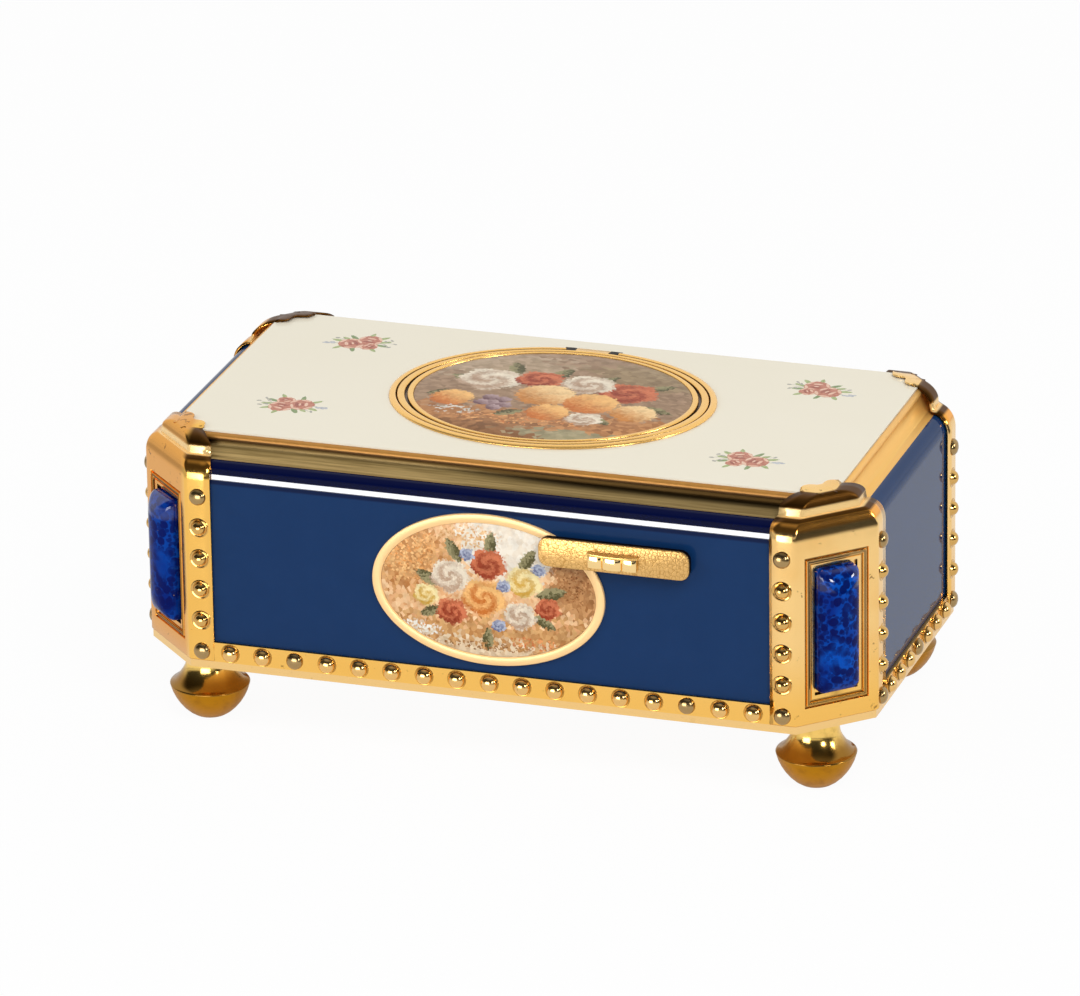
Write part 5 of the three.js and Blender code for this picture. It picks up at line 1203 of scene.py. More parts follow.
def make_corners():
    mount, stone = corner_mount(), corner_stone()
    studs, nails = Shape(), Shape()
    for place, toward, nail in flange_spots():
        target = nails if nail else studs
        target.turned(NAIL_HEAD if nail else STAMPED_STUD, place, toward)
    for name, ways in CORNERS.items():
        piece(f"mount_{name}", mount.mirrored(*ways), "stamped_gilt", f"corner_mount_{name}",
              sheet=MOUNT_SHEET, sharp=32)
        piece(f"mount_studs_{name}", studs.mirrored(*ways), "stud_gilt")
        piece(f"mount_nails_{name}", nails.mirrored(*ways), "nail_bronze")
        piece(f"stone_{name}", stone.mirrored(*ways), "lapis", f"corner_stone_{name}", sharp=60)


# Walls, strips, rails and feet

WALL_END = 0.8
WALL_STEPS = 18
WALL_INNER_STEPS = 8
SLOT_START = -1.7
SLOT_END = 9.7
SLOT_HALF_HEIGHT = 1
SLOT_FRONT = 1
SLOT_BACK = 3
COVE_STEPS = 14
COVE_THICKNESS = 1.1
COVE_LEDGE = 2
BEAD_FOOT = Z_TOP - 1.2
BEAD_TOP = Z_TOP - 0.35
BEAD_WIDTH = 0.75
BEAD_ROUND = 0.28
BEAD_SIDE = 0.35
FOOT_PROFILE = [
    (0, 0), (2.1, 0.0), (2.5, 0.08), (3.2, 0.55), (3.95, 1.25), (4.6, 2.05), (5.1, 2.85), (5.5, 3.7),
    (5.72, 4.4), (5.82, 4.72), (5.85, 4.84), (5.8, 4.93), (5.62, 5.03), (5.35, 5.18), (4.98, 5.48),
    (4.6, 5.92), (4.22, 6.42), (3.88, 6.95), (3.6, 7.5), (3.43, 8.05), (3.36, 8.7), (3.35, 9.5),
    (3.35, 10.3), (3.45, FOOT_TOP), (0, FOOT_TOP),
]


def wall(half, reach):
    """Wall panel facing forward, with a rounded top edge."""
    foot = Z_CASE + SEAT
    profile = [(PANEL_INSET, foot)]
    profile += quarter(LOWER_RUN, Z_SPRING, LOWER_RUN - PANEL_INSET, LOWER_RISE - PANEL_INSET, WALL_STEPS)
    inner = quarter(LOWER_RUN, Z_SPRING, LOWER_RUN - PANEL_INNER, LOWER_RISE - PANEL_INNER, WALL_INNER_STEPS)
    profile += [*reversed(inner), (PANEL_INNER, foot)]
    return Shape().loft([[(x, -reach + d, z) for d, z in profile] for x in (-half, half)])


def strip(half, reach, count, nail_place):
    """Studded strip along the foot of a wall: sheet with stamped studs, and nails."""
    sheet, nails = Shape(), Shape()
    sheet.box((-half, -reach, Z_CASE + SEAT), (half, -reach + SHEET, Z_CASE + STRIP_HEIGHT))
    pitch = 2 * half / count
    for i in range(count):
        place = ((i - (count - 1) / 2) * pitch, -reach, Z_CASE + STRIP_HEIGHT / 2)
        nail = i in (nail_place, count - 1 - nail_place)
        target = nails if nail else sheet
        target.turned(NAIL_HEAD if nail else STRIP_STUD, place, (0, -1, 0))
    return sheet, nails


def make_walls():
    long_half, short_half = front_ridge(0)[0] - WALL_END, -side_ridge(0)[1] - WALL_END
    for name, turns in SIDES.items():
        panel = wall(short_half, CASE_WIDTH / 2) if turns % 2 else wall(long_half, CASE_DEPTH / 2)
        enamel = "side_enamel" if turns % 2 else "navy_enamel"
        made = piece(f"panel_{name}", panel.on_side(turns), enamel, f"{name}_panel", sharp=30)
        if name == "front":
            cut_out(made, Shape().box(
                on_slide(SLOT_START, -CASE_DEPTH / 2 - SLOT_FRONT, -SLOT_HALF_HEIGHT),
                on_slide(SLOT_END, -CASE_DEPTH / 2 + SLOT_BACK, SLOT_HALF_HEIGHT),
            ))


def make_strips():
    inner = FLANGE_WIDTH + SEAT
    short = (-side_ridge(0)[1] - inner, CASE_WIDTH / 2, SHORT_STUDS, SHORT_NAIL)
    long = (front_ridge(0)[0] - inner, CASE_DEPTH / 2, LONG_STUDS, LONG_NAIL)
    for name, turns in SIDES.items():
        sheet, nails = strip(*(short if turns % 2 else long))
        piece(f"studs_{name}", sheet.on_side(turns), "stamped_gilt", f"strip_{name}")
        piece(f"strip_nails_{name}", nails.on_side(turns), "nail_bronze")


def make_cove():
    """Coved rail between the walls and the top, and the bead round the cream plate."""
    start = Z_NOTCH - SHEET - 3 * SEAT
    bead_outer, bead_inner = TOP_INSET - BEAD_WIDTH, TOP_INSET - SEAT
    run = bead_outer + SEAT - LOWER_RUN
    cove = []
    for i in range(COVE_STEPS + 1):
        angle = i / COVE_STEPS * math.pi / 2
        rise = (BEAD_FOOT - start) * (1 - math.cos(angle))
        cove.append((LOWER_RUN + SEAT + run * math.sin(angle), start + rise))
    ledge = Z_TOP - PLATE_THICKNESS - SEAT
    back = TOP_INSET + COVE_LEDGE
    cove += [(bead_inner, BEAD_FOOT), (bead_inner, ledge), (back, ledge), (back, ledge - COVE_THICKNESS),
             (LOWER_RUN + SEAT, start - COVE_THICKNESS)]
    piece("cove_rail", ring_round(cove), "brushed_brass", "cove_frame", sharp=40)
    bead = [(bead_outer + 0.1, BEAD_FOOT + SEAT)]
    bead += quarter(bead_outer + BEAD_ROUND, BEAD_FOOT + BEAD_SIDE, BEAD_ROUND,
                    BEAD_TOP - BEAD_FOOT - BEAD_SIDE, 6)
    bead += [(bead_inner, BEAD_TOP + 0.12), (bead_inner, BEAD_FOOT + SEAT)]
    piece("cove_bead", ring_round(bead), "bead_gilt", sharp=45)


def make_feet():
    for name, (side, end) in CORNERS.items():
        shape = Shape().turned(FOOT_PROFILE, (FOOT_X * side, -FOOT_Y * end, 0), sides=72)
        piece(f"turned_foot_{name}", shape, "foot_brass", f"foot_{name}", sharp=50)


# Top plate, bezel, lid and plaque

BEZEL_OUTER = LID_GAP + BEZEL_WIDTH
WELL_OUTER = LID_GAP + WELL_WALL
WELL_INNER = LID_GAP - WELL_LEDGE
Z_SPLIT = HINGE_Z - LID_THICKNESS
LUG_AIR = 0.12
LUG_BITE = 0.1
LUG_FRONT = 0.62
LUG_REAR = 0.36
LUG_DROP = 0.6
PIN_BITE = 0.4
# Sections of the lid's pieces, as [offset, height]
BEZEL_HEAD = [
    (LID_GAP, Z_LID - 0.06), (LID_GAP + 0.12, Z_LID + 0.02), (LID_GAP + 0.4, Z_LID + 0.04),
    (BEZEL_OUTER - 0.2, Z_LID - 0.06), (BEZEL_OUTER - 0.04, Z_LID - 0.18), (BEZEL_OUTER, Z_LID - 0.34),
    (BEZEL_OUTER, Z_TOP + SEAT), (WELL_OUTER, Z_TOP + SEAT), (WELL_OUTER, Z_SPLIT), (LID_GAP, Z_SPLIT),
]
WELL = [
    (LID_GAP, Z_SPLIT), (WELL_OUTER, Z_SPLIT), (WELL_OUTER, Z_GRILLE - WELL_WALL),
    (WELL_INNER, Z_GRILLE - WELL_WALL), (WELL_INNER, Z_GRILLE - SEAT), (LID_GAP, Z_GRILLE - SEAT),
]
LID_BOTTOM = Z_LID - LID_THICKNESS
LID_RIMS = [
    (-0.4, LID_BOTTOM), (-0.12, LID_BOTTOM + 0.06), (0.0, LID_BOTTOM + 0.25), (0.0, Z_LID - 0.2),
    (-0.03, Z_LID - 0.08), (-0.1, Z_LID - 0.01), (-0.22, Z_LID + 0.02), (-0.55, Z_LID + 0.02),
    (-0.67, Z_LID - 0.03), (-0.71, Z_LID - 0.12), (-0.72, Z_LID - 0.55), (-0.97, Z_LID - 0.55),
    (-0.98, Z_LID - 0.1), (-1.02, Z_LID), (-1.12, Z_LID + 0.05), (-1.42, Z_LID + 0.05), (-1.52, Z_LID),
    (-1.55, Z_LID - 0.1), (-1.55, Z_LID - 0.5),
]
LID_DOME = [
    (-0.05, Z_LID - 0.45), (-0.05, Z_LID - 0.1), (-0.5, Z_LID - 0.02), (-2, Z_LID + 0.1), (-5, Z_LID + 0.2),
    (-9, Z_LID + 0.24), (-13, Z_LID + 0.25),
]
# Section of the plaque's rim as [offset, depth], and its picture as [offset, share of the oval, depth]
PLAQUE_SECTION = [
    (0, 0), (0, 0.34), (-0.03, 0.4), (-0.09, 0.43), (-1.1, 0.43), (-1.16, 0.4), (-1.18, 0.3),
    (-PLAQUE_RIM, 0.3), (-PLAQUE_RIM, 0),
]
PLAQUE_DOME = [(-1.35, 1, 0), (-1.35, 1, 0.26), (-1.5, 1, 0.31), (-1.5, 0.7, 0.33), (-1.5, 0.3, 0.34)]


def to_edge(way, a, b):
    """Distance from the lid's middle to the line through two corners, or a great one where it lies behind."""
    start, along = Vector(a) - Vector((0, LID_Y)), Vector(b) - Vector(a)
    across = way.x * along.y - way.y * along.x
    far = (start.x * along.y - start.y * along.x) / across if across else -1
    return far if far > 0 else CASE_WIDTH


def make_plate():
    """Cream plate: octagon with an oval opening."""
    corners = case_outline(TOP_INSET)
    hole_x, hole_y = (half + WELL_OUTER + SEAT for half in (LID_X, LID_DEPTH_Y))
    angles = {math.atan2(y - LID_Y, x) for x, y in corners}
    angles |= {angle - math.pi for angle in around(OVAL_STEPS)}
    bottom = Z_TOP - PLATE_THICKNESS
    rings = [[], [], [], []]
    for angle in sorted(angles):
        way = Vector((math.cos(angle), math.sin(angle)))
        inner = 1 / math.hypot(way.x / hole_x, way.y / hole_y)
        outer = min(to_edge(way, a, b) for a, b in zip(corners, corners[1:] + corners[:1]))
        section = ((inner, bottom), (inner, Z_TOP), (outer, Z_TOP), (outer, bottom))
        for ring, (far, z) in zip(rings, section):
            ring.append(on_lid(way.x * far, way.y * far, z))
    piece("cream_plate", Shape().loft(rings, closed=True), "cream_enamel", "top_plate", sharp=30)


def make_bezel():
    """Fixed bezel with the wall of the well under it, open at the rear for the lid's knuckle."""
    shape = Shape()
    skip = round(math.asin(NOTCH_HALF / LID_X) / (2 * math.pi) * OVAL_STEPS)
    rear = OVAL_STEPS // 4
    head = list(zip(*oval_rings(BEZEL_HEAD, LID_X, LID_DEPTH_Y, on_lid)))
    well = list(zip(*oval_rings(WELL, LID_X, LID_DEPTH_Y, on_lid)))
    shape.loft([head[i % OVAL_STEPS] for i in range(rear + skip, rear + OVAL_STEPS - skip + 1)])
    shape.loft(well, closed=True)
    piece("bezel_and_well", shape, "lid_gilt", "lid_bezel", sharp=40)
    # Near black lugs beside the knuckle fill the rear notch as painted shade.
    lugs = Shape()
    for side in (-1, 1):
        near, far = sorted((side * (KNUCKLE_HALF + LUG_AIR), side * (NOTCH_HALF + LUG_BITE)))
        lugs.box((near, HINGE_Y - LUG_FRONT, Z_TOP - LUG_DROP), (far, HINGE_Y + LUG_REAR, Z_LID - LUG_BITE))
    piece("notch_shade_lugs", lugs, "dark_steel_and_painted_shade", sharp=40)
    reach = NOTCH_HALF + PIN_BITE
    pin = Shape().turned([(0, -reach), (PIN_RADIUS, -reach), (PIN_RADIUS, reach), (0, reach)],
                         (0, HINGE_Y, HINGE_Z - PIN_RADIUS), (1, 0, 0), 20)
    piece("hinge_pin", pin, "dark_steel_and_painted_shade", "lid_hinge_pin", sharp=40)


def make_lid():
    """Lid with two rims and a groove between them, the hinge's knuckle, and the picture."""
    shape = Shape().loft(oval_rings(LID_RIMS, LID_X, LID_DEPTH_Y, on_lid, RIM_SWELL))
    inner, outer = LID_Y + LID_DEPTH_Y - 0.3, HINGE_Y + BEZEL_WIDTH / 2
    foot = HINGE_Z - KNUCKLE_RADIUS
    tongue = [(inner, foot), (inner, Z_LID), (outer - 0.25, Z_LID - 0.06), (outer - 0.06, Z_LID - 0.18),
              (outer, Z_LID - 0.34), (outer, foot)]
    shape.loft([[(x, y, z) for y, z in tongue] for x in (-KNUCKLE_HALF, KNUCKLE_HALF)])
    piece("lid_rims", shape, "rim_gilt", "lid_frame", "lid", sharp=40)
    picture = Shape().loft(oval_rings(LID_DOME, PICTURE_X, PICTURE_Y, on_lid))
    piece("lid_painting", picture, "lid_picture", "lid_picture", "lid", sharp=50)


def make_plaque():
    sections = list(zip(*oval_rings(PLAQUE_SECTION, PLAQUE_X, PLAQUE_Z, on_plaque)))
    piece("plaque_frame", Shape().loft(sections, closed=True), "plaque_gilt", "plaque_rim", sharp=45)
    rings = []
    for offset, share, depth in PLAQUE_DOME:
        outline = [oval(PLAQUE_X, PLAQUE_Z, offset, angle) for angle in around(OVAL_STEPS)]
        rings.append([on_plaque(x * share, z * share, depth) for x, z in outline])
    piece("plaque_painting", Shape().loft(rings), "plaque_picture", "plaque_picture", sharp=50)


# Thumb slide

SLIDE_CORNER = 1.5
SLIDE_EDGE = 0.22
SLIDE_NECK = (1.5, 0.8)
NECK_FRONT = SLIDE_BACK - 0.3
NECK_BACK = -CASE_DEPTH / 2 + 1.8
GRIP_FOOT = 0.62
GRIP_HALF = 3.75
GRIP_BOW = 0.62
GRIP_BITE = 0.3
GRIP_EDGE = 0.12
GRIP_EDGE_SHARE = 0.94
FLUTES_FROM, FLUTES_TO = -1.3, 0.5
LEDGE_FROM, LEDGE_TO = 0.45, 0.85
LOBE_ROUND = 0.75
LEDGE_ROUND = 0.6
LEDGE_STEPS = 24
# Lobes of the grip: place, half width and reach
GRIP_LOBES = [(-2.55, 1.1, 1.0), (0.0, 1.45, 1.2), (2.55, 1.1, 1.0)]
# Rows of the plate from its back to its front: inset as a share of the rounded edge, and place in depth
SLIDE_ROWS = [
    (0.4, SLIDE_BACK), (0, SLIDE_BACK - SLIDE_EDGE * 0.4), (0, SLIDE_FRONT + SLIDE_EDGE),
    (0.3, SLIDE_FRONT + SLIDE_EDGE * 0.3), (1, SLIDE_FRONT),
]


def make_slide():
    plate = Shape()
    rows = []
    for share, y in SLIDE_ROWS:
        inset = SLIDE_EDGE * share
        ring = rounded_ring(SLIDE_HALF - inset, SLIDE_HALF_HEIGHT - inset, SLIDE_CORNER - inset)
        rows.append([on_slide(x, y, z) for x, z in ring])
    plate.loft(rows)
    half, tall = SLIDE_NECK
    plate.box(on_slide(-half, NECK_FRONT, -tall), on_slide(half, NECK_BACK, tall))
    piece("slide_button", plate, "pebbled_gilt", "slide_plate", "slide", sharp=40)
    flutes, ledge = [], []
    for place, half, reach in GRIP_LOBES:
        for i in range(LOBE_STEPS + 1):
            angle = math.pi * i / LOBE_STEPS
            swell = (reach - GRIP_FOOT) * math.sin(angle) ** LOBE_ROUND
            flutes.append((place - half * math.cos(angle), GRIP_FOOT + swell))
    for i in range(LEDGE_STEPS + 1):
        share = i / LEDGE_STEPS
        swell = GRIP_BOW * math.sin(math.pi * share) ** LEDGE_ROUND
        ledge.append((GRIP_HALF * (2 * share - 1), GRIP_FOOT + swell))
    add_grip("slide_flutes", flutes, FLUTES_FROM, FLUTES_TO, "polished_gilt")
    add_grip("slide_ledge", ledge, LEDGE_FROM, LEDGE_TO, "lid_gilt")


def add_grip(name, outline, low, high, finish):
    """Part of the thumb grip between two heights, with edges a little smaller than its middle."""
    outline = [(outline[0][0], -GRIP_BITE)] + outline + [(outline[-1][0], -GRIP_BITE)]
    rows = []
    for z in (low, low + GRIP_EDGE, high - GRIP_EDGE, high):
        share = GRIP_EDGE_SHARE if z in (low, high) else 1.0
        rows.append([on_slide(x, SLIDE_FRONT - y * share, z) for x, y in outline])
    piece(name, Shape().loft(rows), finish, body="slide", sharp=40)


# Rose sprays painted on the cream plate

PAINT_FOOT = 0.002
DAB_RISE = 0.012
DAB_WOBBLE = 0.1
DAB_SIDES = 14
BUD_SIDES = 10
BUD_SIZE = (0.75, 0.4)
BUD_LIFT = 0.02
SPRIGS = 6
SPRIG_SIZE = (0.8, 0.4)
STEM_WIDTH = 0.15
STEM_RISE = 0.006
STEM_TIP = 0.35
LEAF_SLIMNESS = 0.36
RIB_WIDTH = 0.12
# Sprays: place, which way they grow, and lean in degrees
SPRAYS = [(-34.2, 15.0, 1, 4), (-35.6, -11.8, 1, 172), (36.3, 14.9, -1, -6), (33.9, -14.6, -1, 8)]
STEMS = [
    ((0.6, 0.2), (5.0, 0.3), 0.09), ((2.2, 0.5), (4.2, 1.6), -0.12), ((2.6, 0.2), (4.4, -1.0), 0.14),
    ((-2.2, -0.2), (-4.6, -0.7), 0.12), ((-2.0, 0.5), (-3.8, 1.3), -0.1),
]
BUDS = [(5.1, 0.3), (4.3, 1.65), (4.5, -1.05), (3.5, 1.1), (3.7, -0.6), (-3.9, 1.35)]
# Leaves: place along and across, length, degrees and tone
LEAVES = [
    (2.8, 2.1, 2.2, 40, "leaf_green"), (3.2, -0.7, 2.1, -15, "leaf_dark"), (1.0, 3.0, 2.0, 80, "leaf_green"),
    (-0.6, -2.8, 2.0, -75, "leaf_dark"), (-1.4, 1.8, 2.3, 130, "leaf_dark"),
    (-2.9, -2.3, 2.0, 230, "leaf_green"), (-3.5, 0.4, 2.1, 165, "leaf_green"),
    (3.4, 0.7, 2.0, 15, "leaf_green"), (2.4, -2.6, 1.9, -50, "leaf_green"),
    (-2.4, 1.3, 1.8, 150, "leaf_green"),
]
# Roses: place along and across, size and degrees
ROSES = [(1.5, -1.3, 2.6, 80), (1.1, 1.1, 3.6, 20), (-1.3, -0.6, 3.8, 140)]
# Petals of a rose in shares of its size: tone, distance, angle, length, width, lean and lift
PETALS = [("rose_red", 0.3, 60 * k + 10, 0.62, 0.46, 90, 0.014) for k in range(6)]
PETALS += [("rose_pale", 0.44, 60 * k + 10, 0.42, 0.13, 90, 0.022) for k in (0, 2, 3, 5)]
PETALS += [
    ("rose_red", 0, 0, 0.66, 0.6, 0, 0.026),
    ("rose_dark", 0.16, 250, 0.5, 0.17, 90, 0.034),
    ("rose_dark", 0.05, 70, 0.3, 0.13, 90, 0.034),
    ("rose_pale", 0.2, 60, 0.4, 0.14, 90, 0.04),
    ("rose_pale", 0.05, 240, 0.22, 0.09, 90, 0.042),
]


def bend(start, end, bow, steps=9):
    """Points of a bowed line between two places."""
    way = Vector((end[0] - start[0], end[1] - start[1]))
    aside = Vector((-way.y, way.x))
    out = []
    for i in range(steps):
        t = i / (steps - 1)
        out.append(tuple(Vector(start) + way * t + aside * bow * math.sin(math.pi * t)))
    return out


class Spray:
    """One spray: places on the plate from its own middle, along its length and across it."""

    def __init__(self, x, y, side, lean, dice, tones):
        self.middle = Vector((x, y))
        self.side = side
        self.turn = Matrix.Rotation(math.radians(lean), 2)
        self.dice = dice
        self.tones = tones

    def spot(self, along, across, lift):
        x, y = self.middle + self.turn @ Vector((along * self.side, across))
        return x, y, Z_TOP + lift

    def petal(self, tone, along, across, length, width, degrees, lift, sides):
        """Painted dab with an oval outline and a slightly raised middle."""
        turn = Matrix.Rotation(math.radians(degrees), 2)
        ring = []
        for angle in around(sides):
            wobble = 1 + DAB_WOBBLE * self.dice.uniform(-1, 1)
            reach = Vector((length / 2 * math.cos(angle) * wobble, width / 2 * math.sin(angle) * wobble))
            a, c = turn @ reach
            ring.append(self.spot(along + a, across + c, lift))
        centre = self.spot(along, across, lift + DAB_RISE)
        foot = [(x, y, Z_TOP + PAINT_FOOT) for x, y, _ in ring]
        faces = [(i, (i + 1) % sides, 2 * sides) for i in range(sides)]
        faces += [(sides + i, sides + (i + 1) % sides, (i + 1) % sides, i) for i in range(sides)]
        faces.append(tuple(reversed(range(sides, 2 * sides))))
        self.tones[tone].add(ring + foot + [centre], faces)

    def stroke(self, tone, points, width, lift=0.012):
        """Painted line through points, thin at both ends."""
        rows = []
        for i, (along, across) in enumerate(points):
            ahead = points[min(i + 1, len(points) - 1)]
            behind = points[max(i - 1, 0)]
            way = Vector((ahead[0] - behind[0], ahead[1] - behind[1])).normalized()
            half = width / 2 * (STEM_TIP + (1 - STEM_TIP) * math.sin(math.pi * (i + 0.5) / len(points)))
            rows.append([
                self.spot(along - way.y * half, across + way.x * half, PAINT_FOOT),
                self.spot(along, across, lift + STEM_RISE),
                self.spot(along + way.y * half, across - way.x * half, PAINT_FOOT),
            ])
        self.tones[tone].loft(rows)

    def leaf(self, along, across, length, degrees, tone):
        turn = Matrix.Rotation(math.radians(degrees), 2)
        self.petal(tone, along, across, length, length * LEAF_SLIMNESS, degrees, 0.008, DAB_SIDES)
        tip, root = turn @ Vector((length * 0.55, 0)), turn @ Vector((-length * 0.5, 0))
        rib = bend((along + root.x, across + root.y), (along + tip.x, across + tip.y), 0.04, 6)
        self.stroke("leaf_dark", rib, RIB_WIDTH, 0.02)

    def rose(self, along, across, size, degrees):
        """Open rose: a round of broad petals with pale rims, a cupped heart and a pale turn in it."""
        for tone, far, angle, length, width, lean, lift in PETALS:
            turn = math.radians(angle + degrees)
            self.petal(tone, along + far * size * math.cos(turn), across + far * size * math.sin(turn),
                       length * size, width * size, angle + degrees + lean, lift, DAB_SIDES)


def make_sprays():
    dice = random.Random(7)
    tones = {name: Shape() for name in SPRAY_COLOURS}
    for place in SPRAYS:
        spray = Spray(*place, dice, tones)
        for stem in STEMS:
            spray.stroke("tendril", bend(*stem), STEM_WIDTH)
        for bud in BUDS:
            spray.petal("tendril", *bud, *BUD_SIZE, dice.uniform(-60, 60), BUD_LIFT, BUD_SIDES)
        for leaf in LEAVES:
            spray.leaf(*leaf)
        for k in range(SPRIGS):
            across, degrees = dice.uniform(-1.0, -0.4), dice.uniform(-30, 30)
            spray.petal("blue_sprig", -4.0 - 0.25 * k, across, *SPRIG_SIZE, degrees, BUD_LIFT, BUD_SIDES)
        for rose in ROSES:
            spray.rose(*rose)
    for name, shape in tones.items():
        piece(f"spray_{name}", shape, name, sharp=70)


# Bird

# Stations of its body: distance ahead of the pivot, rise, half width and half height
BIRD_STATIONS = [
    (4.6, 0.2, 0.7, 0.7), (6.2, 0.1, 2.0, 2.1), (9, 0, 3.0, 2.9), (12, 0, 3.2, 3.1), (15, 0.5, 2.7, 2.8),
    (16.8, 1.1, 2.0, 2.2), (18.6, 1.4, 2.35, 2.3), (20.2, 1.3, 1.8, 1.7), (21, 1.25, 0.8, 0.6),
]
BIRD_REAR = BIRD_STATIONS[0][0]
UNDER_PLUMAGE = 0.93
BODY_ROWS = 41
BODY_STEP = 0.41
BODY_SIDES = 28
FIRST_FEATHERS = 20.0
HEAD_START = 16.5
LAST_FEATHERS = 5.6
HEAD_FEATHER = 1.25
BODY_FEATHER = 1.9
FEATHER_SLIMNESS = 0.62
FEATHER_PITCH = 0.5
FEATHER_ROW_STEP = 0.42
FEATHER_SINK = 0.985
EYE = (2.02, 19.1, 2.2)
EYE_RADIUS = 0.42
EYE_RISE = 0.36
EYE_STEPS = 8
EYE_FACING = (-0.25, 0.35)
# Beaks: distance ahead and half width, then half height of the upper one, or top and bottom of the lower
UPPER_BEAK = [
    (20.3, 0.95, 0.75), (20.9, 0.8, 0.55), (21.6, 0.55, 0.38), (22.5, 0.3, 0.22), (23.15, 0.1, 0.09),
]
LOWER_BEAK = [
    (21.1, 0.72, 0.45, -0.28), (21.8, 0.52, 0.58, 0.05), (22.5, 0.33, 0.72, 0.36), (23.05, 0.16, 0.84, 0.64),
]
WING_FRONT = BIRD_Y - 16
WING_TOP = BIRD_Z + 2.2
SHOULDER_FRONT = WING_FRONT + 0.3
SHOULDER_LENGTH = 6.6
SHOULDER_INNER = 1.5
SHOULDER_ROOT = 0.4
SHOULDER_STEPS = 8
SHOULDER_FEATHERS = 6
# Section of a shoulder, and the rows of feathers on it, as [across, above the wing's top]
SHOULDER = [(1.5, 0.3), (2.6, 0.42), (3.25, 0.2), (3.25, -0.15), (2.4, -1.2)]
SHOULDER_ROWS = [(2.0, 0.2), (2.75, 0.24)]
QUILLS = 8
QUILL_OUT = 3.5
QUILL_STEP = 0.025
QUILL_WIDTH = 1.25
# Rows of coverts on a wing: distance behind its front, and count
COVERT_ROWS = [(0.2, 6), (1.5, 6), (2.8, 5)]
COVERT_OUT = 3.74
EDGE_FEATHERS = 7
EDGE_OUT = 3.66
TAIL_FRONT = BIRD_Y - 4.25
TAIL_LENGTH = 7.3
TAIL_PAIRS = 3
# Outline of a feather: share of its length and of its width
FEATHER = [(0, 0.25), (0.2, 0.66), (0.45, 0.95), (0.7, 1.0), (0.88, 0.72), (0.98, 0.26)]


def bird_station(ahead):
    """Height, half width and half height of the bird's body at a distance ahead of its pivot."""
    for near, far in zip(BIRD_STATIONS, BIRD_STATIONS[1:]):
        if ahead <= far[0]:
            share = (ahead - near[0]) / (far[0] - near[0])
            share = share * share * (3 - 2 * share) * 0.5 + share * 0.5
            return between(near[1:], far[1:], max(share, 0))
    return BIRD_STATIONS[-1][1:]


def bird_point(ahead, angle, fullness):
    rise, wide, tall = bird_station(ahead)
    return Vector((wide * fullness * math.cos(angle), BIRD_Y - ahead,
                   BIRD_Z + rise + tall * fullness * math.sin(angle)))


def feather(shape, root, along, outward, length, width, lift):
    """Feather blade with a raised quill: broad past its middle, round at the tip."""
    along, outward = along.normalized(), outward.normalized()
    across = along.cross(outward).normalized()
    rows = []
    for t, w in FEATHER:
        middle = root + along * length * t + outward * (lift * t)
        half = width / 2 * w
        rows.append([
            tuple(middle - across * half), tuple(middle + outward * 0.05), tuple(middle + across * half),
            tuple(middle - outward * 0.04),
        ])
    shape.loft(rows)


def bird_body():
    """Body in rows of feathers, laid from the head to the tail."""
    body = Shape()
    rows = []
    for i in range(BODY_ROWS):
        ahead = BIRD_REAR + BODY_STEP * i
        rows.append([tuple(bird_point(ahead, angle, UNDER_PLUMAGE)) for angle in around(BODY_SIDES)])
    body.loft(rows)
    ahead = FIRST_FEATHERS
    row = 0
    while ahead > LAST_FEATHERS:
        _, wide, tall = bird_station(ahead)
        length = HEAD_FEATHER if ahead > HEAD_START else BODY_FEATHER
        count = max(8, round(2 * math.pi * (wide + tall) / 2 / (length * FEATHER_PITCH)))
        for angle in around(count, 0.5 * (row % 2)):
            root = bird_point(ahead, angle, UNDER_PLUMAGE * FEATHER_SINK)
            behind = bird_point(max(ahead - length, BIRD_REAR), angle, UNDER_PLUMAGE)
            outward = Vector((math.cos(angle), 0, math.sin(angle)))
            feather(body, root, behind - root, outward, length, length * FEATHER_SLIMNESS, 0.1)
        ahead -= length * FEATHER_ROW_STEP
        row += 1
    return body


def add_shoulders(body):
    """Feathered shoulders that reach from the back to the wings' hinges."""
    for side in (-1, 1):
        rows = []
        for i in range(SHOULDER_STEPS + 1):
            swell = math.sin(math.pi * (0.06 + 0.88 * i / SHOULDER_STEPS)) ** 0.5
            y = SHOULDER_FRONT + SHOULDER_LENGTH * i / SHOULDER_STEPS
            ring = []
            for x, z in SHOULDER:
                across = SHOULDER_INNER + (x - SHOULDER_INNER) * swell
                ring.append((side * across, y, WING_TOP + (z + SHOULDER_ROOT) * swell - SHOULDER_ROOT))
            rows.append(ring)
        body.loft(rows)
        for i in range(SHOULDER_FEATHERS):
            for across, lift in SHOULDER_ROWS:
                root = Vector((side * across, SHOULDER_FRONT + 0.5 + 0.95 * i, WING_TOP + lift))
                feather(body, root, Vector((0, 1, -0.02)), Vector((side * 0.25, 0, 1)), 1.7, 1.0, 0.06)


